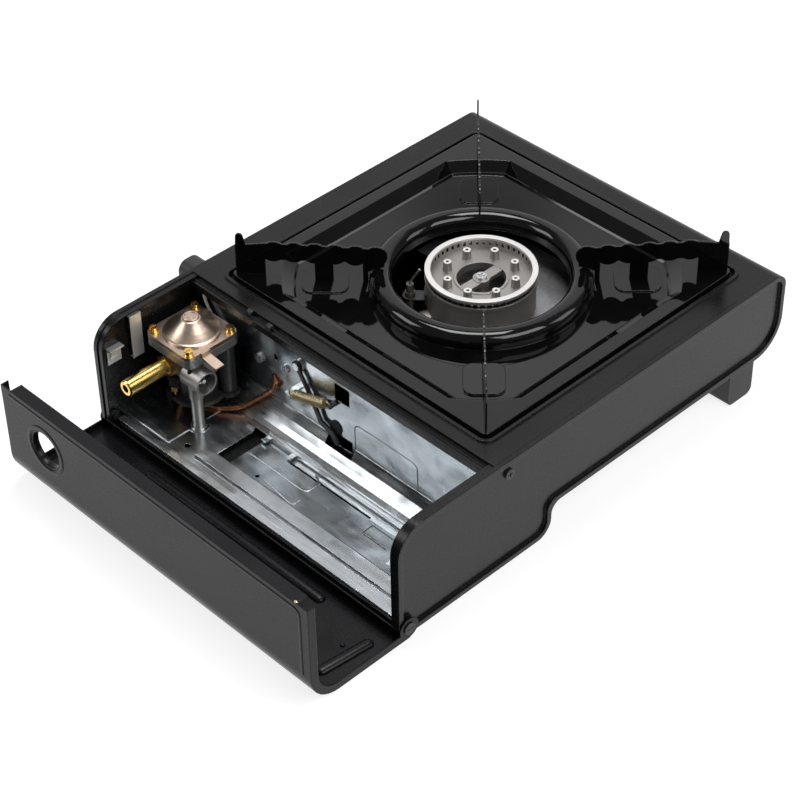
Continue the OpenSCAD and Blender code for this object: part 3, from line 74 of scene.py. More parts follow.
back = Vector((math.sin(yaw) * math.cos(rise), -math.cos(yaw) * math.cos(rise), math.sin(rise)))
right = (-back).cross(Vector((0, 0, 1))).normalized()
up = right.cross(-back)
rolled_right = math.cos(roll) * right + math.sin(roll) * up
rolled_up = -math.sin(roll) * right + math.cos(roll) * up

lens = bpy.data.cameras.new("camera")
lens.lens, lens.sensor_width, lens.sensor_fit = focal_length, sensor_width, "HORIZONTAL"
lens.clip_start, lens.clip_end = 0.05, 20
camera = bpy.data.objects.new("camera", lens)
turn = Matrix((rolled_right, rolled_up, back)).transposed().to_4x4()
camera.matrix_world = Matrix.Translation(lens_place) @ turn
bpy.context.collection.objects.link(camera)
bpy.context.scene.camera = camera
print("camera looks along", [round(v, 3) for v in -back])

# %% [markdown]
# ## Small helpers for nodes
#
# A shader is a chain of nodes, and many of its steps are sums and ranges. Three short helpers save writing each
# of them out. The first gives an empty material. The second joins two values by a Math node. The third carries
# a value from one range to another with Map Range, where either end of the new range is a number or a socket.

# %% Helpers: node tree, sum and range
def node_tree(name):
    material = bpy.data.materials.new(name)
    material.use_nodes = True
    material.node_tree.nodes.clear()
    return material, material.node_tree.nodes, material.node_tree.links

def maths(nodes, links, operation, first, second):
    step = nodes.new("ShaderNodeMath")
    step.operation = operation
    links.new(first, step.inputs[0])
    links.new(second, step.inputs[1])
    return step.outputs[0]

def remap(nodes, links, value, low, high, span=(0, 1), ease="LINEAR"):
    step = nodes.new("ShaderNodeMapRange")
    step.interpolation_type = ease
    step.inputs["From Min"].default_value, step.inputs["From Max"].default_value = span
    links.new(value, step.inputs["Value"])
    for limit, label in ((low, "To Min"), (high, "To Max")):
        if isinstance(limit, (int, float)):
            step.inputs[label].default_value = limit
        else:
            links.new(limit, step.inputs[label])
    return step.outputs["Result"]
print("node helpers:", [helper.__name__ for helper in (node_tree, maths, remap)])

# %% [markdown]
# ## Floor and daylight
#
# Black paint shows nothing but what it reflects, so the room matters more than the lamps. The floor is a pale
# sheet. Seen by the camera, by a mirror or through glass it shines a little by itself, so that it stays white,
# while its plain half still takes the stove's shadow. Light Path tells the two apart.

# %% Floor
def seen_rays(nodes, links):
    path = nodes.new("ShaderNodeLightPath")
    seen = maths(nodes, links, "MAXIMUM", path.outputs["Is Camera Ray"], path.outputs["Is Glossy Ray"])
    return maths(nodes, links, "MAXIMUM", seen, path.outputs["Is Transmission Ray"])

def paper_layer(nodes, kind, grey):
    layer = nodes.new(kind)
    layer.inputs["Color"].default_value = (grey, grey, grey, 1)
    return layer.outputs[0]

floor_width, floor_drop = 14, 0.0004
bpy.ops.object.select_all(action="DESELECT")
bpy.ops.mesh.primitive_plane_add(size=floor_width, location=(0, 0, -floor_drop))
floor = bpy.context.object
floor.name = "floor"
paper, nodes, links = node_tree("floor_paper")
shining = nodes.new("ShaderNodeAddShader")
links.new(paper_layer(nodes, "ShaderNodeBsdfDiffuse", 0.34), shining.inputs[0])
links.new(paper_layer(nodes, "ShaderNodeEmission", 0.8), shining.inputs[1])
pick = nodes.new("ShaderNodeMixShader")
links.new(seen_rays(nodes, links), pick.inputs[0])
links.new(paper_layer(nodes, "ShaderNodeBsdfDiffuse", 0.62), pick.inputs[1])
links.new(shining.outputs[0], pick.inputs[2])
out = nodes.new("ShaderNodeOutputMaterial")
links.new(pick.outputs[0], out.inputs["Surface"])
floor.data.materials.append(paper)
print("floor:", floor.name, "width:", floor_width)

# %% [markdown]
# The room is dim, with one pale backdrop behind the stove. Level enamel mirrors the backdrop as an even grey,
# while every slope of the pan turns away from it and stays black. That contrast is what makes gloss black read
# as gloss, and an even dome would lose it. The backdrop is the part of the sky that lies close to one direction
# and not too high up, with soft edges. The camera itself sees plain white.

# %% Room
backdrop_way = Vector((-0.62, -0.65, 0.42)).normalized()
backdrop_edge, backdrop_top = (0.66, 0.86), (0.80, 0.70)
dim_grey, pale_grey = (0.15, 0.15, 0.155, 1), (0.80, 0.80, 0.81, 1)

room = bpy.data.worlds.new("room")
bpy.context.scene.world = room
room.use_nodes = True
nodes, links = room.node_tree.nodes, room.node_tree.links
nodes.clear()
direction = nodes.new("ShaderNodeTexCoord").outputs["Generated"]
split = nodes.new("ShaderNodeSeparateXYZ")
links.new(direction, split.inputs[0])
toward = nodes.new("ShaderNodeVectorMath")
toward.operation = "DOT_PRODUCT"
toward.inputs[1].default_value = backdrop_way
links.new(direction, toward.inputs[0])
near = remap(nodes, links, toward.outputs["Value"], 0, 1, backdrop_edge, "SMOOTHSTEP")
below = remap(nodes, links, split.outputs["Z"], 0, 1, backdrop_top, "SMOOTHSTEP")
shade = nodes.new("ShaderNodeMix")
shade.data_type = "RGBA"
shade.inputs["A"].default_value, shade.inputs["B"].default_value = dim_grey, pale_grey
links.new(maths(nodes, links, "MULTIPLY", near, below), shade.inputs["Factor"])
dome = nodes.new("ShaderNodeBackground")
links.new(shade.outputs["Result"], dome.inputs["Color"])
white = nodes.new("ShaderNodeBackground")
white.inputs["Color"].default_value = (1, 1, 1, 1)
pick = nodes.new("ShaderNodeMixShader")
links.new(nodes.new("ShaderNodeLightPath").outputs["Is Camera Ray"], pick.inputs[0])
links.new(dome.outputs[0], pick.inputs[1])
links.new(white.outputs[0], pick.inputs[2])
out = nodes.new("ShaderNodeOutputWorld")
links.new(pick.outputs[0], out.inputs["Surface"])
bpy.context.scene.view_settings.view_transform = "Standard"
print("room:", room.name, "backdrop towards", [round(v, 2) for v in backdrop_way])

# %% [markdown]
# Four soft lamps stand round the stove: one above, two on the sides that are seen, and a weak one behind. They
# are large for their distance, so that shadows stay soft. Each row gives a lamp's place, the point it looks at,
# its width and height, and its power in watts.

# %% Lamps
def soft_lamp(name, place, aim, size, power):
    data = bpy.data.lights.new(name, "AREA")
    data.shape, data.size, data.size_y, data.energy = "RECTANGLE", size[0], size[1], power
    lamp = bpy.data.objects.new(name, data)
    bpy.context.collection.objects.link(lamp)
    lamp.location = place
    lamp.rotation_euler = (Vector(aim) - Vector(place)).to_track_quat("-Z", "Y").to_euler()
    print(name, "at", place, "with", power, "W")

soft_lamp("lamp_top", (-0.25, -0.3, 1.6), (0, 0, 0), (0.7, 0.7), 13)
soft_lamp("lamp_left", (1.3, -1.1, 1.2), (0.05, -0.05, 0.03), (0.9, 0.8), 9)
soft_lamp("lamp_right", (-0.05, 1.15, 1.38), (0, 0, 0.05), (1.2, 0.8), 13)
soft_lamp("lamp_back", (-1.3, 1.2, 1.1), (0, 0, 0.05), (0.7, 0.9), 5)

# %% [markdown]
# ## Shared surface effects
#
# No real surface has one roughness all over. A small group called fine_grain turns two noises into a soft
# change of roughness and a height for a bump. Each finish gives it its own scale. It reads Object
# coordinates, so the pattern stays put on the piece when the piece moves.

# %% Group: fine grain
def new_group(name, ins, outs):
    group = bpy.data.node_groups.new(name, "ShaderNodeTree")
    for label, kind, value in ins:
        socket = group.interface.new_socket(name=label, in_out="INPUT", socket_type=kind)
        socket.default_value = value
    for label in outs:
        group.interface.new_socket(name=label, in_out="OUTPUT", socket_type="NodeSocketFloat")
    return group, group.nodes.new("NodeGroupInput"), group.nodes.new("NodeGroupOutput")

broad_scale, small_detail = 22, 4
usual_noise = (0.12, 0.4)  # where the product of the two noises mostly lies
fine_grain, given, result = new_group("fine_grain", (
    ("Scale", "NodeSocketFloat", 400.0), ("Stretch", "NodeSocketVector", (1, 1, 1)),
    ("Low", "NodeSocketFloat", 0.3), ("High", "NodeSocketFloat", 0.4)), ("Roughness", "Height", "Mask"))
nodes, links = fine_grain.nodes, fine_grain.links
stretch = nodes.new("ShaderNodeVectorMath")
stretch.operation = "MULTIPLY"
links.new(nodes.new("ShaderNodeTexCoord").outputs["Object"], stretch.inputs[0])
links.new(given.outputs["Stretch"], stretch.inputs[1])
small = nodes.new("ShaderNodeTexNoise")
small.inputs["Detail"].default_value = small_detail
links.new(stretch.outputs[0], small.inputs["Vector"])
links.new(given.outputs["Scale"], small.inputs["Scale"])
broad = nodes.new("ShaderNodeTexNoise")
broad.inputs["Scale"].default_value = broad_scale
links.new(stretch.outputs[0], broad.inputs["Vector"])
mixed = maths(nodes, links, "MULTIPLY", small.outputs["Fac"], broad.outputs["Fac"])
mask = remap(nodes, links, mixed, 0.0, 1.0, usual_noise)
rough = remap(nodes, links, mask, given.outputs["Low"], given.outputs["High"])
links.new(rough, result.inputs["Roughness"])
links.new(small.outputs["Fac"], result.inputs["Height"])
links.new(mask, result.inputs["Mask"])
print("group:", fine_grain.name)

# %% [markdown]
# Thin sheet is never dead flat. It swells and sinks over a few centimetres, and bright plating shows this as
# wandering reflections. The second group is one broad noise, given out as a height. A bump turns it into slow
# waves, so the mesh keeps its few flat faces.

# %% Group: sheet swell
swell_detail = 1.5
sheet_swell, given, result = new_group("sheet_swell", (("Scale", "NodeSocketFloat", 26.0),), ("Height",))
nodes, links = sheet_swell.nodes, sheet_swell.links
swell = nodes.new("ShaderNodeTexNoise")
swell.inputs["Detail"].default_value = swell_detail
links.new(nodes.new("ShaderNodeTexCoord").outputs["Object"], swell.inputs["Vector"])
links.new(given.outputs["Scale"], swell.inputs["Scale"])
links.new(swell.outputs["Fac"], result.inputs["Height"])
print("group:", sheet_swell.name)

# %% [markdown]
# Some finishes change at a known height or distance from the burner's axis: a rim that was turned bright, and
# painted shade in the row of ports. The third group gives a mask for such a ring-shaped zone. It is 1 between
# two heights and two radii round a centre, and 0 outside. The radius and height come from a helper of their
# own, because the hollow of the pan needs them too.

# %% Group: ring zone
burner_x, burner_y = -0.0701, 0.00705

def from_axis(nodes, links, centre):
    offset = nodes.new("ShaderNodeVectorMath")
    offset.operation = "SUBTRACT"
    links.new(nodes.new("ShaderNodeTexCoord").outputs["Object"], offset.inputs[0])
    if isinstance(centre, bpy.types.NodeSocket):
        links.new(centre, offset.inputs[1])
    else:
        offset.inputs[1].default_value = centre
    level = nodes.new("ShaderNodeVectorMath")
    level.operation = "MULTIPLY"
    level.inputs[1].default_value = (1, 1, 0)
    links.new(offset.outputs[0], level.inputs[0])
    reach = nodes.new("ShaderNodeVectorMath")
    reach.operation = "LENGTH"
    links.new(level.outputs[0], reach.inputs[0])
    height = nodes.new("ShaderNodeSeparateXYZ")
    links.new(offset.outputs[0], height.inputs[0])
    return reach.outputs["Value"], height.outputs["Z"]

ring_zone, given, result = new_group("ring_zone", (
    ("Centre", "NodeSocketVector", (0, 0, 0)), ("Low", "NodeSocketFloat", 0.0),
    ("High", "NodeSocketFloat", 0.1), ("Inner", "NodeSocketFloat", 0.0),
    ("Outer", "NodeSocketFloat", 0.1)), ("Mask",))
nodes, links = ring_zone.nodes, ring_zone.links
radius, height = from_axis(nodes, links, given.outputs["Centre"])
mask = maths(nodes, links, "GREATER_THAN", height, given.outputs["Low"])
for value, limit, test in ((height, "High", "LESS_THAN"), (radius, "Inner", "GREATER_THAN"),
                           (radius, "Outer", "LESS_THAN")):
    inside = maths(nodes, links, test, value, given.outputs[limit])
    mask = maths(nodes, links, "MULTIPLY", mask, inside)
links.new(mask, result.inputs["Mask"])
print("group:", ring_zone.name)

# %% [markdown]
# Every finish below is made by one helper. It takes two close colours, which the mask blends, the range of
# the roughness, and the depth of the bump. Values that are the same all over are set on the shader itself.
# The Bevel node rounds sharp edges in the shading only, by half a millimetre where nothing else is said, and a
# finish with a wave also gets the swell of the sheet.

# %% Helper: a finish from the grain
def bumped(nodes, links, name, height, normal, strength, distance):
    relief = nodes.new("ShaderNodeBump")
    relief.name = name
    relief.inputs["Strength"].default_value = strength
    relief.inputs["Distance"].default_value = distance
    links.new(height, relief.inputs["Height"])
    links.new(normal, relief.inputs["Normal"])
    return relief.outputs["Normal"]

def finish(name, colour, colour_2, rough, grain, stretch=(1, 1, 1), bump=0.05, metal=0.0,
           distance=0.0002, specular=0.5, edge=0.0005, wave=0.0):
    material, nodes, links = node_tree(name)
    shader = nodes.new("ShaderNodeBsdfPrincipled")
    shader.inputs["Metallic"].default_value = metal
    shader.inputs["Specular IOR Level"].default_value = specular
    group = nodes.new("ShaderNodeGroup")
    group.node_tree = fine_grain
    group.inputs["Scale"].default_value = grain
    group.inputs["Stretch"].default_value = stretch
    group.inputs["Low"].default_value, group.inputs["High"].default_value = rough
    links.new(group.outputs["Roughness"], shader.inputs["Roughness"])
    tint = nodes.new("ShaderNodeMix")
    tint.data_type = "RGBA"
    tint.inputs["A"].default_value, tint.inputs["B"].default_value = (*colour, 1), (*colour_2, 1)
    links.new(group.outputs["Mask"], tint.inputs["Factor"])
    links.new(tint.outputs["Result"], shader.inputs["Base Color"])
    worn = nodes.new("ShaderNodeBevel")
    worn.samples = 6
    worn.inputs["Radius"].default_value = edge
    normal = worn.outputs["Normal"]
    if wave:
        swell = nodes.new("ShaderNodeGroup")
        swell.node_tree = sheet_swell
        normal = bumped(nodes, links, "wave", swell.outputs["Height"], normal, 1, wave)
    normal = bumped(nodes, links, "relief", group.outputs["Height"], normal, bump, distance)
    links.new(normal, shader.inputs["Normal"])
    out = nodes.new("ShaderNodeOutputMaterial")
    links.new(shader.outputs[0], out.inputs["Surface"])
    return material

def put(material, *names):
    for name in names:
        piece = bpy.data.objects[name]
        piece.data.materials.clear()
        piece.data.materials.append(material)
    print(material.name, "on", ", ".join(names))

# %% [markdown]
# ## Paint and enamel
#
# The box is sprayed with a satin black that has a faint orange peel. The lid's coat is a little deeper and
# shines less. The pan and its supports are dipped in black enamel, which is glass: almost a mirror, but never
# quite flat, so its highlights wander a little.

# %% Black paint and enamel
paint = finish("satin_black_paint", (0.006, 0.006, 0.0065), (0.010, 0.010, 0.0105), (0.22, 0.32), 900,
               bump=0.08, specular=0.28, edge=0.0008)
lid_paint = finish("lid_black_paint", (0.0055, 0.0055, 0.0065), (0.009, 0.009, 0.0105), (0.22, 0.32), 900,
                   bump=0.08, specular=0.19, edge=0.0008)
enamel_look = {"colour": (0.002, 0.002, 0.0022), "colour_2": (0.004, 0.004, 0.0042), "rough": (0.03, 0.07),
               "grain": 60, "bump": 0.06, "distance": 0.0004, "edge": 0.0008}
enamel = finish("black_enamel", **enamel_look)
put(paint, "top_plate", "bottom_plate", "front_panel", "rear_panel")
put(lid_paint, "lid", "lid_stud")
put(enamel, "support_a", "support_b", "support_c", "support_d")

# %% [markdown]
# The smaller black things are duller: blackened strip and screws, moulded plastic with a fine spark-eroded
# skin, and soft rubber. They differ in roughness and grain far more than in colour, which is what the eye
# sorts them by.

# %% Black strip, moulding and rubber
strip = finish("black_strip", (0.015, 0.015, 0.016), (0.03, 0.03, 0.03), (0.35, 0.5), 700, bump=0.1)
moulded = finish("black_moulding", (0.018, 0.018, 0.019), (0.028, 0.028, 0.028), (0.42, 0.6), 1500, bump=0.25)
soft_black = finish("black_rubber", (0.012, 0.012, 0.012), (0.02, 0.02, 0.02), (0.55, 0.75), 1200, bump=0.2)
put(strip, "release_arm", "panel_screws", "hinge_screws")
put(moulded, "foot_front", "foot_rear", "rest_pads", "control_knob", "lock_lever", "valve_base")
put(soft_black, "divider_plug", "inlet_seal", "diaphragm")

# %% [markdown]
# The floor of the pan is pressed very slightly hollow, by less than the solids show, and on a mirror this
# hollow decides what is seen. On the far side it turns the reflection up into the dark room, at the sides it
# stays on the pale backdrop. A second bump adds it: its height grows with the distance from the burner's axis,
# between the collar and the rim, and it ends just above the pads, so that the slopes keep their own tilt.

# %% Hollow of the pan
hollow_low, hollow_high = -0.0054, 0.0022  # heights at the collar and at the rim
hollow_reach = (0.062, 0.125)              # radii of the collar and the rim
slope_start = (0.0022, 0.0024)             # the bump ends between these heights above the pan's lowest point
pan_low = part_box("drip_pan")[0][2]

pan_enamel = finish("hollow_black_enamel", **enamel_look)
nodes, links = pan_enamel.node_tree.nodes, pan_enamel.node_tree.links
radius, height = from_axis(nodes, links, (burner_x, burner_y, pan_low))
bowl = remap(nodes, links, radius, hollow_low, hollow_high, hollow_reach)
fade = remap(nodes, links, height, 1.0, 0.0, slope_start)
hollow = maths(nodes, links, "MULTIPLY", bowl, fade)
relief = nodes["relief"]
edge_normal = relief.inputs["Normal"].links[0].from_socket
links.new(bumped(nodes, links, "hollow", hollow, edge_normal, 1, 1), relief.inputs["Normal"])
put(pan_enamel, "drip_pan")
print("floor of the pan at", round(pan_low, 4))

# %% [markdown]
# ## Plated sheet
#
# The bay is folded from zinc-plated sheet. Rolling leaves faint streaks along the bay, so the grain is
# stretched that way. The sliding plate has the same plating, coloured darker as painted shade, and the strap
# and bracket at the front have it coloured paler as a painted sheen, and rougher, so that they catch the light
# at every angle.

# %% Plated sheet
bay_swell = 0.0035
plated = finish("zinc_plated_sheet", (0.52, 0.55, 0.57), (0.62, 0.65, 0.67), (0.20, 0.30), 260,
                stretch=(1, 0.15, 1), bump=0.04, metal=1.0, wave=bay_swell)
# Painted shade: the sliding plate's plating is coloured about half as bright as the bay's.
shaded_plated = finish("shaded_plated_sheet", (0.24, 0.26, 0.275), (0.32, 0.345, 0.36), (0.20, 0.30), 260,
                     stretch=(1, 0.15, 1), bump=0.04, metal=1.0, wave=bay_swell)
# Painted sheen: the strap and bracket's plating is coloured paler than the bay's; it is also rougher.
sheen_painted_strip = finish("sheen_painted_strip", (0.74, 0.75, 0.74), (0.84, 0.85, 0.84), (0.38, 0.5), 500,
                      stretch=(1, 1, 0.15), bump=0.04, metal=0.7)
put(plated, "divider_wall", "cartridge_tray", "cartridge_stop", "slide_rail", "lever_plate")
put(shaded_plated, "slide_plate")
put(sheen_painted_strip, "front_strap", "catch_bracket")

# %% [markdown]
# ## Bright small metal
#
# Screws and pins are bright plated steel. The hose stem and the cap's screws are turned brass, the gas pipe is
# drawn copper, and the spring is wire with a yellow zinc skin. Turned and drawn metal is smooth, so these
# finishes have almost no bump, and their edges are kept crisp.

# %% Screws, brass, copper and wire
screw_metal = finish("bright_screw", (0.62, 0.63, 0.64), (0.74, 0.74, 0.75), (0.22, 0.34), 900, metal=1.0)
brass = finish("turned_brass", (0.93, 0.62, 0.17), (0.97, 0.70, 0.26), (0.21, 0.24), 300, bump=0.001,
               metal=1.0, edge=0.0001)
copper = finish("copper_pipe_skin", (0.92, 0.37, 0.17), (0.95, 0.45, 0.24), (0.24, 0.28), 300, bump=0.001,
                metal=1.0, edge=0.0001)
spring = finish("yellow_zinc_wire", (0.66, 0.56, 0.34), (0.78, 0.68, 0.46), (0.26, 0.36), 700,
                metal=1.0, edge=0.0001)
put(screw_metal, "divider_screws", "burner_screw", "arm_pivot", "post_ring", "valve_shaft",
    "inlet_pin", "regulator_spring", "electrode_rod")
put(brass, "hose_stem", "cap_screws", "pipe_nut", "gas_nozzle")
put(copper, "copper_pipe")
put(spring, "tension_spring")

# %% [markdown]
# ## Castings and burner
#
# Cast metal is grey and a little sandy. The dome of the regulator is pressed, with a warm lacquer. On the
# burner head only the rim above the ports is turned bright, and the row of ports below it gets painted shade, a
# near-black colour for the shadow inside the slots. Both are ring-shaped zones, so a helper lays a new colour
# over a finish inside such a zone, and the mesh stays whole.

# %% Castings and burner
def zone_colour(material, colour, low, high, inner, outer):
    nodes, links = material.node_tree.nodes, material.node_tree.links
    zone = nodes.new("ShaderNodeGroup")
    zone.node_tree = ring_zone
    zone.inputs["Centre"].default_value = (burner_x, burner_y, 0)
    for label, value in (("Low", low), ("High", high), ("Inner", inner), ("Outer", outer)):
        zone.inputs[label].default_value = value
    base = next(n for n in nodes if n.type == "BSDF_PRINCIPLED").inputs["Base Color"]
    change = nodes.new("ShaderNodeMix")
    change.data_type = "RGBA"
    change.inputs["B"].default_value = (*colour, 1)
    links.new(base.links[0].from_socket, change.inputs["A"])
    links.new(zone.outputs["Mask"], change.inputs["Factor"])
    links.new(change.outputs["Result"], base)

cast = finish("cast_alloy", (0.36, 0.355, 0.345), (0.50, 0.49, 0.475), (0.36, 0.50), 700, bump=0.2, metal=0.9)
cap = finish("warm_cap_metal", (0.60, 0.47, 0.37), (0.64, 0.51, 0.41), (0.30, 0.36), 300, bump=0.01,
             metal=1.0, edge=0.0002)
burner = finish("burner_alloy", (0.36, 0.345, 0.33), (0.46, 0.44, 0.42), (0.38, 0.50), 900, bump=0.12,
                metal=0.9)
zone_colour(burner, (0.84, 0.82, 0.80), low=0.0874, high=0.1, inner=0, outer=0.1)
# Painted shade: the band of the ports is coloured near-black for the shadow inside the slots.
zone_colour(burner, (0.02, 0.02, 0.02), low=0.08355, high=0.08655, inner=0.0330, outer=0.0362)
put(cast, "regulator_body", "mixing_tube")
put(cap, "regulator_cap")
put(burner, "burner_head", "burner_cup")

# %% [markdown]
# What is left sits deep in the stove: the heat shield, the valve with its igniter, the electrode and its lead.
# The electrode's ceramic is coloured a dark brown-grey instead of white, and the lead is white rubber.

# %% Shield, valve, electrode and lead
shield = finish("heat_shield_steel", (0.34, 0.34, 0.35), (0.44, 0.44, 0.45), (0.3, 0.42), 500, bump=0.1,
                metal=0.9)
dark = finish("dark_metal", (0.05, 0.05, 0.052), (0.09, 0.09, 0.092), (0.3, 0.45), 600, bump=0.15, metal=0.6)
# The ceramic is given a dark brown-grey in place of a white glaze.
ceramic = finish("dark_brown_ceramic", (0.09, 0.08, 0.07), (0.14, 0.125, 0.11), (0.2, 0.35), 500)
sleeve = finish("white_sleeve", (0.72, 0.71, 0.68), (0.80, 0.79, 0.76), (0.35, 0.5), 500)
put(shield, "heat_shield")
put(dark, "valve_body", "piezo_unit", "electrode_clip")
put(ceramic, "electrode_insulator")
put(sleeve, "ignition_lead")

# %% [markdown]
# ## Small pressed details
#
# The solids hold the main forms. What follows is thin. Positions are in millimetres from the middle of the
# closed stove, and one helper turns them into places in the frame, another turns them back. A third leaves only
# the new piece selected, because the operators work on all that is selected. A fourth goes into edit mode with
# only the wanted points or faces selected. It clears the old selection there first, as marks left on edges and
# faces would bring it all back. The last one applies the place to the mesh and hands the piece to its body.

# %% Helpers for placing and selecting
middle_x, middle_y = 35.1, -7.05  # the frame's origin, from the middle of the closed stove

def at(x, y, z):
    return Vector(((x - middle_x) / 1000, (y - middle_y) / 1000, z / 1000))

def millimetres(corner):
    return 1000 * corner[0] + middle_x, 1000 * corner[1] + middle_y, 1000 * corner[2]

def only(piece):
    bpy.ops.object.select_all(action="DESELECT")
    piece.select_set(True)
    bpy.context.view_layer.objects.active = piece

def choose(piece, kind, test):
    only(piece)
    bpy.ops.object.mode_set(mode="EDIT")
    bpy.ops.mesh.select_mode(type=kind)
    bpy.ops.mesh.select_all(action="DESELECT")
    bpy.ops.object.mode_set(mode="OBJECT")
    for part in (piece.data.vertices if kind == "VERT" else piece.data.polygons):
        part.select = test(part)
    bpy.ops.object.mode_set(mode="EDIT")

def settle(piece, material, body, smooth=40):
    only(piece)
    bpy.ops.object.transform_apply(location=True, rotation=True, scale=True)
    bpy.ops.object.shade_smooth_by_angle(angle=math.radians(smooth))
    piece.data.materials.clear()
    piece.data.materials.append(material)
    if body:
        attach(piece, body)
    print(piece.name, "on", body or "two bodies", "faces:", len(piece.data.polygons))
print("closed stove's middle:", [round(v, 4) for v in at(0, 0, 0)])

# %% [markdown]
# The sliding plate carries tongues that the press has cut free on three sides. Their edges catch the light as
# fine bright lines. Such a line could be cut into the sheet with a boolean, which is a lot of trouble for half
# a millimetre. A thin cord laid on the sheet, flattened, gives the same glint. Its corners are rounded first,
# each with a short curve between the two legs.

# %% Helper: a fine line on a sheet
def rounded(points, radius, steps=6):
    path = [Vector(points[0])]
    for before, corner, after in zip(points, points[1:], points[2:]):
        before, corner, after = Vector(before), Vector(corner), Vector(after)
        start = corner + (before - corner).normalized() * radius
        end = corner + (after - corner).normalized() * radius
        for i in range(steps + 1):
            t = i / steps
            path.append((1 - t) ** 2 * start + 2 * t * (1 - t) * corner + t ** 2 * end)
    return path + [Vector(points[-1])]

def fine_line(name, points, radius, width, material, body, flat):
    curve = bpy.data.curves.new(name, "CURVE")
    curve.dimensions, curve.bevel_depth, curve.bevel_resolution = "3D", width / 2000, 2
    curve.use_fill_caps = True
    path = rounded(points, radius)
    line = curve.splines.new("POLY")
    line.points.add(len(path) - 1)
    for spot, place in zip(line.points, path):
        spot.co = (*at(*place), 1)
    piece = bpy.data.objects.new(name, curve)
    bpy.context.collection.objects.link(piece)
    only(piece)
    bpy.ops.object.convert(target="MESH")
    bpy.ops.object.mode_set(mode="EDIT")
    bpy.ops.mesh.select_all(action="SELECT")
    bpy.ops.transform.resize(value=flat, center_override=at(*points[0]))
    bpy.ops.object.mode_set(mode="OBJECT")
    settle(bpy.context.object, material, body)
print("a corner of 90 degrees gets", len(rounded([(0, 0, 0), (1, 0, 0), (1, 1, 0)], 0.2)) - 2, "points")

# %% [markdown]
# Two tongues are cut, one long and one short. Each line runs along the bay, turns the corner and crosses the
# tongue's end. It lies just above the plate, so its height is taken from the plate itself.

# %% Lines on the sliding plate
line_rise = 0.95  # the sheet's thickness and a little more
line_flat = (1, 1, 0.7)
plate_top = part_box("slide_plate")[0][2] * 1000 + line_rise
fine_line("tongue_line_long", [(130, -43, plate_top), (130.7, 9.6, plate_top), (118.8, 9.6, plate_top)],
          4.5, 1.1, screw_metal, "slide", line_flat)
fine_line("tongue_line_short", [(141, -18, plate_top), (144.4, 12, plate_top), (137.6, 12, plate_top)],
          3, 0.9, screw_metal, "slide", line_flat)

# %% [markdown]
# Long shallow ribs stiffen the lid. A rib is a dome drawn out to a bar: a ball is turned by half a segment, so
# that two rows of points straddle its middle, one half is pulled away along the rib, the height is squeezed,
# and what lies under the sheet is cut off.

# %% Helper: a pressed rib
def rib(name, start, end, width, height, material, body):
    segments, sunk = 24, 0.0001
    start, end = at(*start), at(*end)
    along = end - start
    bpy.ops.object.select_all(action="DESELECT")
    bpy.ops.mesh.primitive_uv_sphere_add(segments=segments, ring_count=12, radius=width / 2000,
                                         rotation=(0, 0, math.radians(180 / segments)))
    piece = bpy.context.object
    piece.name = name
    bpy.ops.object.transform_apply(location=True, rotation=True, scale=True)
    choose(piece, "VERT", lambda vertex: vertex.co.x > 0)
    bpy.ops.transform.translate(value=(along.length, 0, 0))
    bpy.ops.mesh.select_all(action="SELECT")
    bpy.ops.transform.resize(value=(1, 1, 2 * height / width), center_override=(0, 0, 0))
    bpy.ops.mesh.bisect(plane_co=(0, 0, -sunk), plane_no=(0, 0, 1), clear_inner=True, use_fill=True)
    bpy.ops.object.mode_set(mode="OBJECT")
    piece.rotation_euler = (0, 0, math.atan2(along.y, along.x))
    piece.location = start
    settle(piece, material, body)
print("a rib 8 wide and 2.4 high is squeezed to", 2 * 2.4 / 8, "of the ball's height")

# %% [markdown]
# The open lid lies on the table, so its ribs stand on the upper side of its floor: a long one beside the hinge
# and a short one across the rear end, turned a little.

# %% Ribs pressed into the lid
rib_width, rib_height, lid_thickness = 8, 2.4, 0.8
lid_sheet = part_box("lid")[0][2] * 1000 + lid_thickness
rib("lid_rib_end", (189, 125.5, lid_sheet), (222, 122, lid_sheet), rib_width, rib_height,
    lid_paint, "lid")
rib("lid_rib_long", (183, -78, lid_sheet), (183, 78, lid_sheet), rib_width, rib_height,
    lid_paint, "lid")

# %% [markdown]
# The outer wall of the lid is folded over along its free edge and down its rear end. The fold shows only as a
# faint line, so a flattened cord does for it. On the edge sits a tiny bright stud, which is the rib's dome
# once more, at a quarter of the size.

# %% Fold and stud on the lid's edge
lid_high = millimetres(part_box("lid")[1])
fold_x, fold_z, fold_foot_z = lid_high[0], lid_high[2] - 4.5, 22
fold_front_y, fold_rear_y = -131, 131.5
stud_x, stud_z = lid_high[0] - 1, lid_high[2]
rib("lid_edge_stud", (stud_x, 127.9, stud_z), (stud_x, 128.6, stud_z), 2.0, 0.6, cap, "lid")
fine_line("lid_fold", [(fold_x, fold_front_y, fold_z), (fold_x, fold_rear_y, fold_z),
                       (fold_x, fold_rear_y, fold_foot_z)],
          5, 2.6, lid_paint, "lid", (0.35, 1, 1))

# %% [markdown]
# The edge of the lid's round window is pressed twice: a shallow ring stands round it, and the sheet turns
# inwards as a short collar. The ring is a torus, squeezed flat against the wall and cut off behind the sheet.

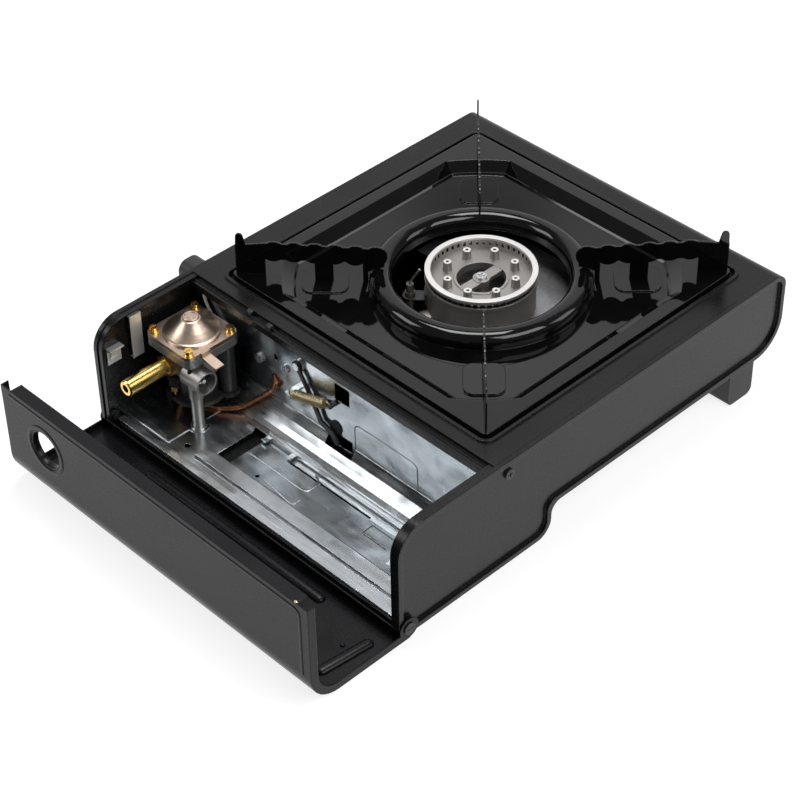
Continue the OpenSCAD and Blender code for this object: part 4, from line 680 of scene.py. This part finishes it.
# %% Ring round the lid's window
quarter_turn = math.radians(90)
window = at(lid_high[0], -99, 47)
ring_radius, ring_round, ring_squeeze, ring_sunk = 0.0160, 0.0017, 0.3, 0.0002
bpy.ops.object.select_all(action="DESELECT")
bpy.ops.mesh.primitive_torus_add(major_radius=ring_radius, minor_radius=ring_round, major_segments=56,
                                 minor_segments=14, location=window, rotation=(0, quarter_turn, 0))
ring = bpy.context.object
ring.name = "lid_window_ring"
bpy.ops.object.transform_apply(location=True, rotation=True, scale=True)
bpy.ops.object.mode_set(mode="EDIT")
bpy.ops.mesh.select_all(action="SELECT")
bpy.ops.transform.resize(value=(ring_squeeze, 1, 1), center_override=window)
bpy.ops.mesh.bisect(plane_co=window - Vector((ring_sunk, 0, 0)), plane_no=(1, 0, 0), clear_inner=True,
                    use_fill=True)
bpy.ops.object.mode_set(mode="OBJECT")
settle(ring, lid_paint, "lid")

# %% [markdown]
# The collar is an open cylinder that Solidify makes 1.2 mm thick, towards its axis, and a small bevel takes the
# sharpness off its edges. The bevel is a helper, because the divider's tongues get one too.

# %% Collar of the lid's window
def soften_edges(piece, width):
    soften = piece.modifiers.new("soften", "BEVEL")
    soften.width, soften.segments = width, 2
    bpy.ops.object.modifier_apply(modifier="soften")

collar_radius, collar_depth, collar_wall, collar_sunk = 0.014, 0.0045, 0.0012, 0.0024
bpy.ops.object.select_all(action="DESELECT")
bpy.ops.mesh.primitive_cylinder_add(vertices=56, radius=collar_radius, depth=collar_depth,
                                    end_fill_type="NOTHING", location=window - Vector((collar_sunk, 0, 0)),
                                    rotation=(0, quarter_turn, 0))
collar = bpy.context.object
collar.name = "lid_window_collar"
wall = collar.modifiers.new("wall", "SOLIDIFY")
wall.thickness, wall.offset = collar_wall, -1
bpy.ops.object.modifier_apply(modifier="wall")
soften_edges(collar, 0.0002)
settle(collar, lid_paint, "lid")

# %% [markdown]
# The divider hangs in the rolled edge of the top plate by two tongues. Each tongue starts as a small block. Its
# outer face is pulled out and down twice, as the press bends it, and a bevel rounds the edges.

# %% Tongues over the rolled edge
def tongue(name, place):
    block, bends = (0.0016, 0.0042, 0.0012), ((0.0011, 0, -0.0007), (0.0004, 0, -0.0022))
    bpy.ops.object.select_all(action="DESELECT")
    bpy.ops.mesh.primitive_cube_add(size=1)
    piece = bpy.context.object
    piece.name = name
    piece.scale = block
    bpy.ops.object.transform_apply(location=True, rotation=True, scale=True)
    choose(piece, "FACE", lambda face: face.normal.x > 0.9)
    for bend in bends:
        bpy.ops.mesh.extrude_region_move(TRANSFORM_OT_translate={"value": bend})
    bpy.ops.mesh.select_all(action="SELECT")
    bpy.ops.mesh.normals_make_consistent(inside=False)
    bpy.ops.object.mode_set(mode="OBJECT")
    soften_edges(piece, 0.0003)
    piece.location = at(*place)
    settle(piece, strip, "chassis")

tongue("divider_tongue_front", (94, -77, 84))
tongue("divider_tongue_rear", (95.6, -57, 84))

# %% [markdown]
# The return spring is wound wire. A small ring stands beside an upright axis, and the Screw modifier carries it
# round and up, one pitch a turn. The open ends are closed, and the winding is moved to the middle of its span.

# %% Winding of the spring
wire, coil, pitch, turns = 0.6, 2.9, 1.9, 16  # radius of the wire and of the winding, rise a turn
low, high = at(100.9, -36.2, 44.4), at(100.9, 1.6, 56)
span = (high - low).length * 1000
bpy.ops.object.select_all(action="DESELECT")
bpy.ops.mesh.primitive_circle_add(vertices=10, radius=wire / 1000, location=(coil / 1000, 0, 0),
                                  rotation=(quarter_turn, 0, 0))
spring_piece = bpy.context.object
spring_piece.name = "wound_spring"
bpy.ops.object.transform_apply(location=True, rotation=True, scale=True)
winding = spring_piece.modifiers.new("winding", "SCREW")
winding.angle, winding.screw_offset, winding.iterations = 2 * math.pi, pitch / 1000, turns
winding.steps = winding.render_steps = 18
bpy.ops.object.modifier_apply(modifier="winding")
bpy.ops.object.mode_set(mode="EDIT")
bpy.ops.mesh.select_all(action="SELECT")
bpy.ops.mesh.remove_doubles(threshold=1e-6)
bpy.ops.mesh.fill_holes(sides=0)
bpy.ops.transform.translate(value=(0, 0, (span - pitch * turns) / 2000))
bpy.ops.object.mode_set(mode="OBJECT")
print("spring:", round(span, 1), "mm between its hooks,", turns, "turns")

# %% [markdown]
# A loop of the same wire is joined to each end. The loops hang on the hook of the divider and on the release
# arm. It stands for the plain sleeve of the construction model.

# %% Loops of the spring
loop_radius, loop_gap = 0.0023, 1.7
loops = []
for z in (wire + loop_gap, span - wire - loop_gap):
    bpy.ops.mesh.primitive_torus_add(major_radius=loop_radius, minor_radius=wire / 1000, major_segments=28,
                                     minor_segments=10, location=(0, 0, z / 1000),
                                     rotation=(0, quarter_turn, 0))
    loops.append(bpy.context.object)
only(spring_piece)
for loop in loops:
    loop.select_set(True)
bpy.ops.object.join()
bpy.ops.object.mode_set(mode="EDIT")
bpy.ops.mesh.select_all(action="SELECT")
bpy.ops.mesh.normals_make_consistent(inside=False)
bpy.ops.object.mode_set(mode="OBJECT")
spring_piece.rotation_euler = (-math.atan2(high.y - low.y, high.z - low.z), 0, 0)
spring_piece.location = low
settle(spring_piece, spring, None, 60)
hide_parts("tension_spring")
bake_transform(spring_piece)
